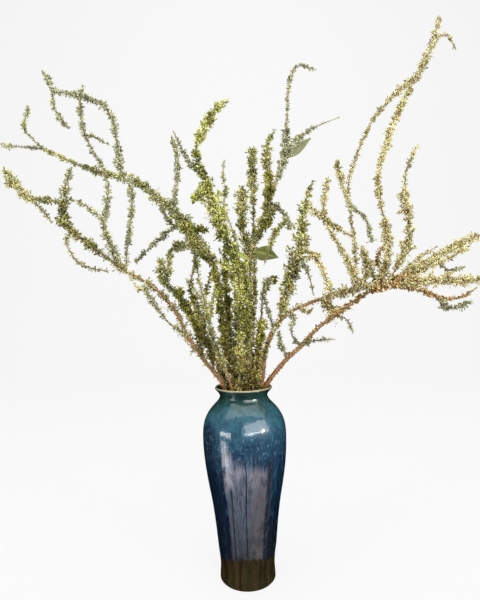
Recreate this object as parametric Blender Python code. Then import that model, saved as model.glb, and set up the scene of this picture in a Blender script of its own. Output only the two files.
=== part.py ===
"""Leafy spiraea branches standing in a tall glazed vase.

Metres, +Z up. The origin is the centre of the vase's flat underside, +X is to the right of the
side it is seen from, and +Y points away from that side.
"""

import math
import random

import bpy
from mathutils import Quaternion, Vector
from mathutils.bvhtree import BVHTree

# Vase: outer radius at each height, foot to lip.
VASE_HEIGHT = 0.400
VASE_OUTSIDE = [
    (0.0000, 0.0570), (0.0015, 0.0583), (0.0130, 0.0578), (0.0310, 0.0571), (0.0650, 0.0602),
    (0.1000, 0.0636), (0.1330, 0.0673), (0.1670, 0.0722), (0.2000, 0.0782), (0.2360, 0.0836),
    (0.2650, 0.0866), (0.2910, 0.0878), (0.3120, 0.0871), (0.3300, 0.0835), (0.3470, 0.0750),
    (0.3600, 0.0642), (0.3700, 0.0550), (0.3800, 0.0500), (0.3870, 0.0525), (0.3930, 0.0575),
    (0.3970, 0.0606), (VASE_HEIGHT, 0.0594),
]
VASE_INSIDE = [
    (0.3975, 0.0557), (0.3880, 0.0478), (0.3800, 0.0450), (0.3700, 0.0495), (0.3550, 0.0630),
    (0.3300, 0.0775), (0.2910, 0.0823), (0.2360, 0.0781), (0.1670, 0.0667), (0.1000, 0.0580),
    (0.0120, 0.0490),
]
VASE_SIDES = 24
WATER_LEVEL = 0.236
TOUCH_GAP = 0.0003
STEM_HOLE_GAP = 0.0005
HOLE_SIDES = 6
HOLE_RUNS_BELOW = 0.010

# The view that the branches' routes are given in: a frame of 480 by 600 pixels.
FRAME_CENTRE = (240.0, 300.0)
FOCAL_PX = 436.0
VIEW_DISTANCE = 0.933
VIEW_SIDE = -0.0026
EYE_HEIGHT = 0.573
VIEW_ROLL = math.radians(1.44)
VIEW_PITCH = math.radians(0.62)

# Stems and twigs: how they narrow, and how finely their curves are followed.
NECK_LEVEL = 0.374
STEM_FOOT_SHRINK = 0.92
STEM_TAPER_POWER = 0.8
TWIG_OF_PARENT = 0.85
TWIG_TAPER = 0.8
CURVE_STEP = 0.012
CURVE_TOLERANCE = 0.0022
TUBE_SIDES = 4

# Leaves: a narrow keeled blade, and the room that each keeps from its neighbours.
LEAF_LENGTH = 0.024
LEAF_WIDTH = 0.0052
LEAF_THICK = 0.0011
LEAF_STALK = 0.0009
LEAF_DROOP = 0.08
LEAF_LEAN = math.radians(38)
LEAF_LEAN_SPREAD = math.radians(9)
LEAF_TURN = math.radians(137.5)
LEAF_PITCH = 0.0340
LEAF_SPREAD = 0.15
LEAF_TRIES = 5
LEAF_RETRY_TURN = LEAF_TURN * 0.37
TIP_LEAF_LEAN = 0.05
TIP_LEAF_SINK = 0.004
ROOM_ROUND = 0.0006
ROOM_AT_ROOT = 0.0020
ROOM_AT_TIP = 0.0008
LEAF_GREEN = (0.20, 0.27, 0.035)
SEED = 11


class Branch:
    """One grown branch: where it passes the neck (mm), how thick it is, and its shoots.

    A shoot is (route in pixels, depth in mm at its end, leaf size, share of its length left bare).
    The first shoot is the branch's stem. Each other shoot starts where its route meets the branch.
    """

    def __init__(self, name, neck, stem_mm, depths, shoots, twig_mm=1.3):
        self.name = name
        self.neck = neck
        self.stem_mm = stem_mm
        self.depths = depths
        self.shoots = shoots
        self.twig_mm = twig_mm


BRANCHES = [
    Branch("branch_low_left", (-34, -12), (4.4, 1.3), (-14, -110), [
        ([(222, 383), (208, 365), (197, 350), (187, 335), (180, 320), (173, 308), (159, 292), (142, 280),
          (124, 270), (106, 257), (88, 243), (72, 231), (63, 220), (62, 204), (46, 200), (31, 199),
          (15, 185), (7, 172)], None, 1.0, 0.30),
        ([(127, 271), (127, 250), (131, 218), (131, 190), (120, 168), (117, 140), (112, 117), (101, 104),
          (82, 97), (65, 93), (52, 90), (49, 81), (42, 72)], -30, 0.9, 0.10),
        ([(52, 90), (54, 106), (59, 117), (67, 128)], -30, 1.1, 0.0),
        ([(120, 267), (112, 249), (104, 226), (108, 192), (103, 168), (93, 152), (85, 134), (81, 117),
          (80, 99), (83, 85)], -150, 0.85, 0.05),
        ([(85, 134), (94, 137), (109, 145)], -175, 0.8, 0.0),
        ([(62, 204), (66, 185), (71, 168)], -90, 0.9, 0.0),
        ([(62, 202), (73, 200), (86, 206), (103, 220)], -125, 0.8, 0.0),
        ([(31, 199), (43, 211), (52, 223)], -125, 0.8, 0.1),
        ([(72, 231), (66, 241), (75, 259), (90, 268), (108, 271)], -125, 0.9, 0.1),
        ([(187, 335), (170, 324), (155, 305), (144, 287)], -75, 0.9, 0.1),
        ([(204, 359), (199, 338), (193, 318), (183, 303), (178, 290)], -48, 0.9, 0.1),
        ([(213, 371), (211, 350), (206, 332), (202, 316)], -38, 0.9, 0.1),
    ]),
    Branch("branch_high_left", (-28, 16), (3.3, 1.1), (16, 165), [
        ([(229, 384), (225, 340), (221, 300), (214, 266), (200, 243), (180, 218), (160, 200), (144, 187),
          (128, 178), (107, 174), (84, 167), (65, 159), (42, 148), (33, 139), (24, 128), (28, 108)],
         None, 1.0, 0.18),
        ([(172, 210), (177, 182), (177, 158), (172, 138)], 150, 0.9, 0.05),
        ([(42, 148), (22, 147), (3, 145)], 185, 1.0, 0.0),
        ([(185, 224), (173, 228), (158, 240), (136, 261)], 90, 0.9, 0.1),
        ([(160, 200), (165, 216), (177, 229)], 130, 0.8, 0.0),
        ([(214, 266), (204, 258), (194, 244), (188, 228)], 70, 1.0, 0.0),
    ]),
    Branch("branch_left_inner", (-16, 31), (2.4, 1.0), (31, 110), [
        ([(230, 384), (211, 350), (197, 330), (186, 310), (178, 296), (166, 284), (161, 273), (162, 261)],
         None, 1.0, 0.25),
        ([(165, 283), (169, 268), (171, 251), (184, 245)], 100, 0.9, 0.1),
    ]),
    Branch("branch_left_short", (-20, -28), (2.4, 1.0), (-38, -95), [
        ([(231, 386), (222, 361), (213, 337), (206, 310), (200, 284), (197, 266), (195, 251)],
         None, 1.0, 0.15),
        ([(206, 310), (197, 293), (188, 281)], -85, 0.9, 0.1),
        ([(209, 324), (212, 304), (216, 290)], -60, 0.9, 0.1),
    ]),
    Branch("branch_arching", (-6, -33), (2.8, 1.1), (-36, -95), [
        ([(239, 386), (240, 360), (240, 320), (239, 280), (232, 252), (224, 235), (218, 218), (211, 198),
          (204, 178), (197, 160), (197, 144), (205, 127), (214, 111), (227, 101)], None, 1.15, 0.05),
        ([(202, 174), (193, 167), (183, 151), (173, 131)], -65, 0.8, 0.1),
        ([(209, 193), (202, 193), (194, 200)], -85, 0.8, 0.0),
        ([(239, 280), (229, 270), (219, 262)], -70, 1.0, 0.0),
    ]),
    Branch("branch_thin", (-12, 2), (2.0, 0.8), (2, 45), [
        ([(236, 386), (236, 340), (237, 290), (235, 240), (224, 208), (226, 190), (223, 178), (224, 160)],
         None, 0.8, 0.1),
        ([(237, 290), (227, 265), (219, 248)], 20, 0.9, 0.0),
    ]),
    Branch("branch_dense", (-2, 18), (2.4, 1.0), (18, 75), [
        ([(240, 386), (242, 340), (243, 290), (247, 252), (242, 222), (243, 188)], None, 1.05, 0.05),
        ([(243, 290), (234, 268), (232, 250)], 30, 0.9, 0.0),
    ]),
    Branch("branch_upright", (10, 32), (2.2, 0.9), (32, 130), [
        ([(249, 386), (252, 340), (254, 290), (254, 240), (253, 194), (252, 151)], None, 0.9, 0.1),
    ]),
    Branch("branch_tall", (12, 8), (2.8, 1.0), (8, 75), [
        ([(248, 386), (249, 340), (250, 290), (251, 256), (260, 231), (268, 200), (267, 168), (267, 144),
          (275, 130)], None, 0.95, 0.06),
        ([(268, 200), (280, 172), (285, 150), (287, 119), (290, 78), (300, 65), (314, 70)], 220, 0.7, 0.05),
        ([(284, 158), (296, 141), (313, 128), (340, 117)], 60, 0.75, 0.0),
        ([(268, 200), (282, 212), (291, 227)], 20, 0.85, 0.1),
        ([(287, 219), (274, 235), (264, 265)], -30, 0.85, 0.1),
    ]),
    Branch("branch_right_green", (24, -20), (2.6, 1.1), (-26, -85), [
        ([(255, 386), (263, 358), (274, 332), (282, 311), (290, 279), (301, 245), (302, 226), (306, 200),
          (313, 181)], None, 1.15, 0.08),
        ([(301, 248), (314, 256), (323, 270), (329, 290)], -105, 0.9, 0.0),
        ([(296, 260), (307, 270), (314, 296)], -55, 0.8, 0.3),
        ([(274, 332), (269, 312), (263, 295), (268, 279)], -20, 0.9, 0.1),
    ]),
    Branch("branch_upper_right", (32, 12), (5.0, 1.4), (10, 85), [
        ([(262, 383), (266, 348), (274, 329), (289, 313), (307, 304), (330, 296), (355, 290), (378, 285),
          (405, 274), (436, 256), (459, 245), (479, 235)], None, 1.15, 0.42),
        ([(355, 290), (355, 252), (351, 215), (349, 181), (361, 144), (375, 117), (395, 94), (415, 78),
          (431, 48), (439, 18)], 190, 0.9, 0.0),
        ([(433, 43), (446, 34), (456, 49)], 200, 0.8, 0.0),
        ([(350, 205), (343, 187), (337, 162)], 90, 0.85, 0.0),
        ([(354, 236), (335, 227), (317, 215), (309, 205)], 30, 0.85, 0.0),
        ([(324, 219), (324, 198), (328, 178)], 60, 0.85, 0.0),
        ([(354, 284), (343, 253), (334, 238), (327, 226)], 5, 0.85, 0.0),
        ([(352, 206), (366, 220), (371, 240)], 110, 0.85, 0.0),
        ([(378, 285), (369, 268), (362, 248)], 60, 0.95, 0.0),
        ([(405, 274), (418, 259), (438, 246)], 95, 0.95, 0.0),
        ([(436, 256), (447, 270), (463, 268)], 60, 0.9, 0.0),
        ([(418, 267), (441, 262), (467, 248)], 30, 0.9, 0.0),
        ([(288, 314), (295, 318), (291, 326)], -5, 0.8, 0.0),
        ([(320, 299), (328, 305), (334, 312)], 8, 0.8, 0.0),
    ]),
    Branch("branch_lower_right", (35, -9), (5.2, 1.3), (-14, -120), [
        ([(268, 382), (284, 362), (302, 345), (318, 328), (345, 308), (372, 290), (394, 286), (423, 291),
          (443, 299), (463, 296), (476, 288)], None, 0.95, 0.45),
        ([(372, 290), (385, 268), (388, 240), (380, 200), (379, 170), (388, 139), (399, 110), (411, 88)],
         -20, 0.9, 0.0),
        ([(385, 287), (401, 260), (409, 232), (405, 200), (406, 172), (417, 146)], -120, 1.05, 0.0),
        ([(400, 287), (421, 280), (444, 280), (478, 280)], -75, 1.0, 0.0),
        ([(436, 297), (450, 308), (472, 302)], -130, 0.85, 0.0),
        ([(334, 316), (346, 319), (353, 332)], -90, 0.85, 0.1),
        ([(302, 345), (313, 341), (333, 339)], -80, 0.8, 0.1),
        ([(372, 290), (360, 282), (352, 268), (347, 255)], -90, 0.95, 0.0),
        ([(289, 357), (281, 346), (279, 333)], -8, 0.8, 0.0),
    ]),
    Branch("branch_mouth_left", (-38, 3), (2.2, 1.0), (3, 30), [
        ([(226, 385), (214, 354), (203, 332), (196, 306), (191, 284), (195, 264)], None, 1.0, 0.2),
        ([(203, 332), (205, 303), (208, 284), (216, 269)], 20, 0.95, 0.1),
    ]),
    Branch("branch_mouth_front_left", (-20, -12), (2.2, 1.0), (-14, -30), [
        ([(234, 386), (226, 350), (221, 318), (218, 290), (213, 268)], None, 1.0, 0.1),
    ]),
    Branch("branch_mouth_front", (7, -24), (2.2, 1.0), (-28, -50), [
        ([(246, 386), (247, 350), (247, 318), (246, 290), (243, 262)], None, 1.1, 0.05),
    ]),
    Branch("branch_mouth_back", (-4, 36), (2.2, 1.0), (38, 110), [
        ([(238, 386), (231, 345), (227, 305), (225, 270), (227, 245)], None, 1.0, 0.1),
    ]),
    Branch("branch_mouth_right", (24, 26), (2.2, 1.0), (28, 70), [
        ([(254, 386), (257, 350), (261, 318), (264, 292), (275, 277)], None, 0.9, 0.08),
    ]),
    Branch("branch_mouth_low", (20, -34), (2.0, 0.9), (-38, -60), [
        ([(253, 388), (256, 368), (260, 345), (262, 322)], None, 1.0, 0.05),
    ]),
]

# The one broad leaf: where it leaves its stem and where its tip is in the picture.
BROAD_LEAF_OF = "branch_tall"
BROAD_LEAF_ROOT = (257, 242)
BROAD_LEAF_TIP = (277, 256)
BROAD_LEAF_TIP_DEPTH = 0.018
BROAD_LEAF_HALF_WIDTH = 0.0125
BROAD_LEAF_THICK = 0.0012
BROAD_LEAF_FACING = (0.15, -1.0, 0.25)
BROAD_LEAF_OUTLINE = [(0.0, 0.08), (0.16, 0.10), (0.36, 0.85), (0.55, 1.0), (0.8, 0.6), (1.0, 0.0)]


def clear_scene():
    for old in list(bpy.data.objects):
        bpy.data.objects.remove(old, do_unlink=True)


def finish_material(name, colour, roughness, alpha=1.0):
    material = bpy.data.materials.get(name)
    if material:
        return material
    material = bpy.data.materials.new(name)
    material.use_nodes = True
    shader = material.node_tree.nodes["Principled BSDF"]
    shader.inputs["Base Color"].default_value = (*colour, 1.0)
    shader.inputs["Roughness"].default_value = roughness
    shader.inputs["Metallic"].default_value = 0.0
    shader.inputs["Alpha"].default_value = alpha
    return material


def add_object(name, points, faces, material):
    mesh = bpy.data.meshes.new(name)
    mesh.from_pydata([tuple(point) for point in points], [], faces)
    mesh.materials.append(material)
    piece = bpy.data.objects.new(name, mesh)
    bpy.context.collection.objects.link(piece)
    return piece


def place(pixel, depth):
    """The point seen at a pixel that lies the given depth behind the vase's axis."""
    across = pixel[0] - FRAME_CENTRE[0]
    below = pixel[1] - FRAME_CENTRE[1]
    right = across * math.cos(VIEW_ROLL) - below * math.sin(VIEW_ROLL)
    down = below * math.cos(VIEW_ROLL) + across * math.sin(VIEW_ROLL)
    ahead = FOCAL_PX * math.cos(VIEW_PITCH) + down * math.sin(VIEW_PITCH)
    rise = FOCAL_PX * math.sin(VIEW_PITCH) - down * math.cos(VIEW_PITCH)
    reach = (VIEW_DISTANCE + depth) / ahead
    return Vector((VIEW_SIDE + right * reach, depth, EYE_HEIGHT + rise * reach))


def thinned(path, tolerance):
    """The path without the points that a straight run passes within the tolerance."""
    if len(path) < 3:
        return path
    chord = (path[-1] - path[0]).normalized()
    strays = [((point - path[0]) - chord * (point - path[0]).dot(chord)).length for point in path]
    far = max(range(len(path)), key=strays.__getitem__)
    if strays[far] < tolerance:
        return [path[0], path[-1]]
    return thinned(path[:far + 1], tolerance)[:-1] + thinned(path[far:], tolerance)


def smooth_path(points):
    """As few points as follow a smooth curve through the given points."""
    ends = [points[0] * 2 - points[1]] + points + [points[-1] * 2 - points[-2]]
    path = []
    for before, start, stop, after in zip(ends, ends[1:], ends[2:], ends[3:]):
        pieces = max(1, round((stop - start).length / CURVE_STEP))
        for piece in range(pieces):
            t = piece / pieces
            curve = (start * 2 + (stop - before) * t
                     + (before * 2 - start * 5 + stop * 4 - after) * t ** 2
                     + (start * 3 - before - stop * 3 + after) * t ** 3)
            path.append(curve / 2)
    path.append(points[-1])
    return thinned(path, CURVE_TOLERANCE)


def turned(profile, sides):
    """Points and faces of a closed ring of profile points (height, radius) turned about the axis."""
    points = []
    for height, radius in profile:
        for side in range(sides):
            angle = 2 * math.pi * side / sides
            points.append(Vector((radius * math.cos(angle), radius * math.sin(angle), height)))
    faces = []
    for ring in range(len(profile) - 1):
        for side in range(sides):
            a = ring * sides + side
            b = ring * sides + (side + 1) % sides
            faces.append((a, b, b + sides, a + sides))
    faces.append(tuple(reversed(range(sides))))
    faces.append(tuple(range((len(profile) - 1) * sides, len(profile) * sides)))
    return points, faces


def make_vase():
    """Hollow turned vase: up the outside from the foot, over the lip and down to the floor."""
    glaze = finish_material("blue_stoneware_glaze", (0.015, 0.085, 0.13), 0.12)
    points, faces = turned(VASE_OUTSIDE + VASE_INSIDE, VASE_SIDES)
    piece = add_object("vase", points, faces, glaze)
    piece.data.shade_smooth()
    piece.data.set_sharp_from_angle(angle=math.radians(40))
    return piece


def inside_radius(height):
    for (top, wide), (low, narrow) in zip(VASE_INSIDE, VASE_INSIDE[1:]):
        if low <= height <= top:
            return narrow + (wide - narrow) * (height - low) / (top - low)
    return VASE_INSIDE[-1][1]


def make_water(stem_paths):
    """Water up to its level, with one plain hole for each stem."""
    clear = finish_material("vase_water", (0.55, 0.62, 0.60), 0.05, 0.4)
    floor = VASE_INSIDE[-1][0]
    profile = [(floor + TOUCH_GAP, VASE_INSIDE[-1][1] - 2 * TOUCH_GAP)]
    for height, radius in reversed(VASE_INSIDE[:-1]):
        if height < WATER_LEVEL:
            profile.append((height, radius - 2 * TOUCH_GAP))
    profile.append((WATER_LEVEL, inside_radius(WATER_LEVEL) - 2 * TOUCH_GAP))
    points, faces = turned(profile, VASE_SIDES)
    piece = add_object("water", points, faces, clear)
    holes = bpy.data.collections.new("stem_holes")
    bpy.context.scene.collection.children.link(holes)
    for index, (path, radii) in enumerate(stem_paths):
        foot = path[0] - (path[1] - path[0]).normalized() * HOLE_RUNS_BELOW
        wide = [(radius + STEM_HOLE_GAP) / math.cos(math.pi / HOLE_SIDES) for radius in radii[:2]]
        points, faces = tube([foot, path[1]], wide, HOLE_SIDES)
        cutter = add_object(f"hole_{index}", points, faces, clear)
        cutter.hide_render = True
        cutter.display_type = "WIRE"
        bpy.context.collection.objects.unlink(cutter)
        holes.objects.link(cutter)
    boolean(piece, "DIFFERENCE", holes)
    return piece


def boolean(piece, operation, parts):
    """Join a collection to a piece, or cut it out, and remove the collection's objects."""
    change = piece.modifiers.new("shape", "BOOLEAN")
    change.operation = operation
    change.operand_type = "COLLECTION"
    change.collection = parts
    change.solver = "MANIFOLD"
    bpy.context.view_layer.update()
    shape = bpy.data.meshes.new_from_object(piece.evaluated_get(bpy.context.evaluated_depsgraph_get()))
    piece.modifiers.clear()
    piece.data = shape
    for part in list(parts.objects):
        bpy.data.objects.remove(part, do_unlink=True)
    bpy.data.collections.remove(parts)


def frames_along(path):
    """Direction and side vectors at each point of a path, turned as little as possible."""
    frames = []
    side = None
    for index, point in enumerate(path):
        ahead = path[min(index + 1, len(path) - 1)]
        behind = path[max(index - 1, 0)]
        along = (ahead - behind).normalized()
        if side is None:
            side = along.orthogonal().normalized()
        else:
            side = (side - along * side.dot(along)).normalized()
        frames.append((along, side, along.cross(side)))
    return frames


def tube(path, radii, sides):
    """Points and faces of a closed tube of flat-sided rings."""
    points = []
    for point, radius, (along, side, other) in zip(path, radii, frames_along(path)):
        for index in range(sides):
            angle = 2 * math.pi * index / sides
            points.append(point + (side * math.cos(angle) + other * math.sin(angle)) * radius)
    faces = []
    for ring in range(len(path) - 1):
        for index in range(sides):
            a = ring * sides + index
            b = ring * sides + (index + 1) % sides
            faces.append((a, b, b + sides, a + sides))
    faces.append(tuple(reversed(range(sides))))
    faces.append(tuple(range((len(path) - 1) * sides, len(path) * sides)))
    return points, faces


def lengths_along(path):
    total = [0.0]
    for start, stop in zip(path, path[1:]):
        total.append(total[-1] + (stop - start).length)
    return total


def route_points(pixels, start_depth, end_depth):
    """Picture points with a depth that changes evenly along the route."""
    steps = [0.0]
    for start, stop in zip(pixels, pixels[1:]):
        steps.append(steps[-1] + math.dist(start, stop))
    return [place(pixel, start_depth + (end_depth - start_depth) * step / steps[-1])
            for pixel, step in zip(pixels, steps)]


def stem_path(branch):
    """A branch's stem from the vase's floor, through the neck and out along its route."""
    neck_x, neck_y = (value / 1000 for value in branch.neck)
    foot = Vector((neck_x * STEM_FOOT_SHRINK, neck_y * STEM_FOOT_SHRINK, VASE_INSIDE[-1][0] + TOUCH_GAP))
    neck = Vector((neck_x, neck_y, NECK_LEVEL))
    start_depth, end_depth = (value / 1000 for value in branch.depths)
    above = smooth_path([neck] + route_points(branch.shoots[0][0], start_depth, end_depth))
    return [foot] + above


def nearest_on(paths, pixel):
    """The drawn path point whose picture place is nearest a pixel, with that path's twig radius."""
    best = None
    for path, radii in paths:
        for start, stop, thick in zip(path[1:], path[2:], radii[1:]):
            for part in (0.0, 0.25, 0.5, 0.75):
                point = start.lerp(stop, part)
                reach = place(pixel, point.y) - point
                if best is None or reach.length < best[0]:
                    best = (reach.length, point, thick)
    return best[1], best[2]


def shoot_paths(branch):
    """Every shoot of a branch as (path, radii, leaf size, length along it where leaves begin)."""
    stem = stem_path(branch)
    lengths = lengths_along(stem)
    base, tip = (value / 1000 for value in branch.stem_mm)
    above = lengths[-1] - lengths[1]
    shares = [max(0.0, (length - lengths[1]) / above) for length in lengths]
    radii = [base + (tip - base) * share ** STEM_TAPER_POWER for share in shares]
    _, _, size, bare = branch.shoots[0]
    shoots = [(stem, radii, size, lengths[1] + above * bare)]
    drawn = [(stem, radii)]
    for pixels, end_depth, size, bare in branch.shoots[1:]:
        root, thick = nearest_on(drawn, pixels[0])
        points = route_points(pixels, root.y, end_depth / 1000)
        path = smooth_path([root] + points[1:])
        lengths = lengths_along(path)
        start = min(branch.twig_mm / 1000, thick * TWIG_OF_PARENT)
        end = min(tip, start * TWIG_TAPER)
        radii = [start + (end - start) * length / lengths[-1] for length in lengths]
        shoots.append((path, radii, size, lengths[-1] * bare))
        drawn.append((path, radii))
    return shoots


def point_at(path, lengths, length):
    for index in range(1, len(path)):
        if length <= lengths[index]:
            part = (length - lengths[index - 1]) / (lengths[index] - lengths[index - 1])
            return path[index - 1].lerp(path[index], part), index - 1
    return path[-1].copy(), len(path) - 2


def blade_axes(frame, turn, lean):
    """A leaf's own directions: from its root to its tip, across it and out of its face."""
    along, side, _ = frame
    outward = Quaternion(along, turn) @ side
    direction = (along * math.cos(lean) + outward * math.sin(lean)).normalized()
    across = along.cross(outward).normalized()
    return direction, across, direction.cross(across).normalized()


def blade(root, axes, size, sink):
    """A narrow keeled leaf of ten triangles, widest a little past its middle, on a sunk root."""
    direction, across, normal = axes
    half = LEAF_WIDTH * size / 2
    stalk = LEAF_STALK / 2
    length = LEAF_LENGTH * size
    start = root - direction * sink
    middle = root + direction * length / 2
    end = root + direction * length - normal * length * LEAF_DROOP
    points = [start - across * stalk + normal * stalk * 0.6, start + across * stalk + normal * stalk * 0.6,
              start - normal * stalk, middle - across * half + normal * LEAF_THICK * 0.3,
              middle + across * half + normal * LEAF_THICK * 0.3, middle - normal * LEAF_THICK * 0.7, end]
    faces = [(0, 1, 2), (0, 3, 4), (0, 4, 1), (1, 4, 5), (1, 5, 2), (2, 5, 3), (2, 3, 0),
             (3, 6, 4), (4, 6, 5), (5, 6, 3)]
    return points, faces


def room_for_blade(root, axes, size):
    """A box round the blade, narrower at its tip, that has to stay clear of the leaf's neighbours."""
    direction, across, normal = axes
    half = LEAF_WIDTH * size / 2 + ROOM_ROUND
    deep = LEAF_THICK + ROOM_ROUND
    length = LEAF_LENGTH * size
    start = root + direction * ROOM_AT_ROOT
    end = root + direction * (length + ROOM_AT_TIP) - normal * length * LEAF_DROOP
    points = []
    for spot, wide in ((start, half), (end, half * 0.8)):
        for x, y in ((-1, 0.6), (1, 0.6), (1, -1), (-1, -1)):
            points.append(spot + across * wide * x + normal * deep * y)
    faces = [(0, 1, 2, 3), (7, 6, 5, 4), (0, 4, 5, 1), (1, 5, 6, 2), (2, 6, 7, 3), (3, 7, 4, 0)]
    return points, faces


def tree_of(solids):
    """A search tree over many small solids, each given as (points, faces)."""
    points = []
    faces = []
    for solid_points, solid_faces in solids:
        offset = len(points)
        points.extend(Vector(point) for point in solid_points)
        faces.extend(tuple(index + offset for index in face) for face in solid_faces)
    if not points:
        return None
    return BVHTree.FromPolygons(points, faces)


def hits(solid, tree):
    if tree is None:
        return False
    points, faces = solid
    return bool(BVHTree.FromPolygons(points, faces).overlap(tree))


def grow_leaves(shoots, others, draw):
    """Leaves in a spiral up each shoot, each turned or left out where it would meet a neighbour."""
    leaves = []
    rooms = []
    for path, radii, size, start in shoots:
        lengths = lengths_along(path)
        frames = frames_along(path)
        turn = draw.uniform(0, 2 * math.pi)
        length = start + draw.uniform(0.2, 0.9) * LEAF_PITCH
        while length < lengths[-1] - TIP_LEAF_SINK:
            point, index = point_at(path, lengths, length)
            grown = size * draw.uniform(1 - LEAF_SPREAD, 1 + LEAF_SPREAD)
            lean = LEAF_LEAN + draw.uniform(-LEAF_LEAN_SPREAD, LEAF_LEAN_SPREAD)
            own = tree_of(rooms)
            for attempt in range(LEAF_TRIES):
                axes = blade_axes(frames[index], turn, lean)
                room = room_for_blade(point, axes, grown)
                if not hits(room, others) and not hits(room, own):
                    leaves.append(blade(point, axes, grown, 0.0))
                    rooms.append(room)
                    break
                turn += LEAF_RETRY_TURN
            turn += LEAF_TURN
            length += LEAF_PITCH * draw.uniform(1 - LEAF_SPREAD, 1 + LEAF_SPREAD)
        axes = blade_axes(frames[-1], turn, TIP_LEAF_LEAN)
        room = room_for_blade(path[-1], axes, size)
        if not hits(room, others):
            leaves.append(blade(path[-1], axes, size, TIP_LEAF_SINK))
            rooms.append(room)
    return leaves, rooms


def broad_leaf(shoots):
    """The single broad pointed leaf on its short stalk, a thin blade round a raised midrib."""
    start, _ = nearest_on([(path, radii) for path, radii, size, bare in shoots], BROAD_LEAF_ROOT)
    end = place(BROAD_LEAF_TIP, BROAD_LEAF_TIP_DEPTH)
    along = (end - start).normalized()
    across = along.cross(Vector(BROAD_LEAF_FACING)).normalized()
    normal = across.cross(along).normalized()
    length = (end - start).length
    points = []
    for part, wide in BROAD_LEAF_OUTLINE[:-1]:
        spot = start + along * length * part
        half = BROAD_LEAF_HALF_WIDTH * wide
        points += [spot - across * half, spot + normal * BROAD_LEAF_THICK, spot + across * half,
                   spot - normal * BROAD_LEAF_THICK * 0.2]
    points.append(end)
    faces = [(3, 2, 1, 0)]
    rings = len(BROAD_LEAF_OUTLINE) - 1
    for ring in range(rings - 1):
        for index in range(4):
            a = ring * 4 + index
            b = ring * 4 + (index + 1) % 4
            faces += [(a, b, b + 4), (a, b + 4, a + 4)]
    last = (rings - 1) * 4
    for index in range(4):
        faces.append((last + index, last + (index + 1) % 4, len(points) - 1))
    return points, faces


def make_branch(branch, shoots, leaves):
    """The stem with its shoots and leaves joined to it as one grown piece."""
    green = finish_material("spiraea_leaf", LEAF_GREEN, 0.5)
    points, faces = tube(shoots[0][0], shoots[0][1], TUBE_SIDES)
    piece = add_object(branch.name, points, faces, green)
    parts = bpy.data.collections.new(branch.name + "_parts")
    bpy.context.scene.collection.children.link(parts)
    solids = [tube(path, radii, TUBE_SIDES) for path, radii, size, start in shoots[1:]] + leaves
    for index, (points, faces) in enumerate(solids):
        part = add_object(f"{branch.name}_{index}", points, faces, green)
        bpy.context.collection.objects.unlink(part)
        parts.objects.link(part)
    boolean(piece, "UNION", parts)
    return piece


def make_branches():
    """All branches: their stems first, then their leaves, which keep clear of every neighbour."""
    draw = random.Random(SEED)
    shoots = [shoot_paths(branch) for branch in BRANCHES]
    woods = [[tube(path, [radius + ROOM_ROUND for radius in radii], TUBE_SIDES)
              for path, radii, size, start in parts] for parts in shoots]
    vase = turned(VASE_OUTSIDE + VASE_INSIDE, VASE_SIDES)
    rooms = [[] for branch in BRANCHES]
    for index, branch in enumerate(BRANCHES):
        others = [vase]
        for number in range(len(BRANCHES)):
            if number != index:
                others += woods[number] + rooms[number]
        leaves, rooms[index] = grow_leaves(shoots[index], tree_of(others), draw)
        if branch.name == BROAD_LEAF_OF:
            leaves.append(broad_leaf(shoots[index]))
        piece = make_branch(branch, shoots[index], leaves)
        print(branch.name, len(leaves), "leaves,", len(piece.data.polygons), "faces")
    return [parts[0][:2] for parts in shoots]


def main():
    clear_scene()
    make_vase()
    stem_paths = make_branches()
    make_water(stem_paths)


main()
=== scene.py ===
# %% [markdown]
# # Spiraea branches in a tall glazed vase
# The frame is the measured solid model: a hollow vase, the water in it and eighteen grown branches.
# It is loaded first, and the finer pieces made below take the places of its vase and branches, which are
# then hidden.

# %% Load the frame
import math
from collections import namedtuple

import bpy
import numpy as np
from mathutils import Matrix, Vector
from mathutils.kdtree import KDTree


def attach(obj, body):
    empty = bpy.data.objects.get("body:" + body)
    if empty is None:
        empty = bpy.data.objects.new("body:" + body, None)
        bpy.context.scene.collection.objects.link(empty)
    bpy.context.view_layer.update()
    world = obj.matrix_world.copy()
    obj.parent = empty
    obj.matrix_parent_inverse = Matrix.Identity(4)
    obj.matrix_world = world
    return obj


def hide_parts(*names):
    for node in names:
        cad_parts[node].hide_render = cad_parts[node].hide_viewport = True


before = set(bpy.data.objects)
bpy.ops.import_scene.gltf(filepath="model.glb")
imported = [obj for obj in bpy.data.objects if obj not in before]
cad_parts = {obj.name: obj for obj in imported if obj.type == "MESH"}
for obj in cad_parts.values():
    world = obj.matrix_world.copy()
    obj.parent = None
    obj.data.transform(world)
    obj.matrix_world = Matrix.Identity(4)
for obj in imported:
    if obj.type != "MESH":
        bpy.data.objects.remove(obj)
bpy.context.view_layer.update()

# %% [markdown]
# ## The view
# The camera stands level with the leaves, a little under a metre from the vase, so near branches look
# larger than far ones. It leans by a degree and a half, as a camera held in the hand does. These same
# numbers turn a place in the picture, with a depth, into a place in the room, so each branch can be laid
# where it is seen.

# %% The camera
FRAME_WIDTH = 480
FRAME_HEIGHT = 600
FOCAL_PX = 436.0
VIEW_DISTANCE = 0.933
VIEW_SIDE = -0.0026
EYE_HEIGHT = 0.573
VIEW_ROLL = math.radians(1.44)
VIEW_PITCH = math.radians(0.62)
SENSOR_MM = 36.0

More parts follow.
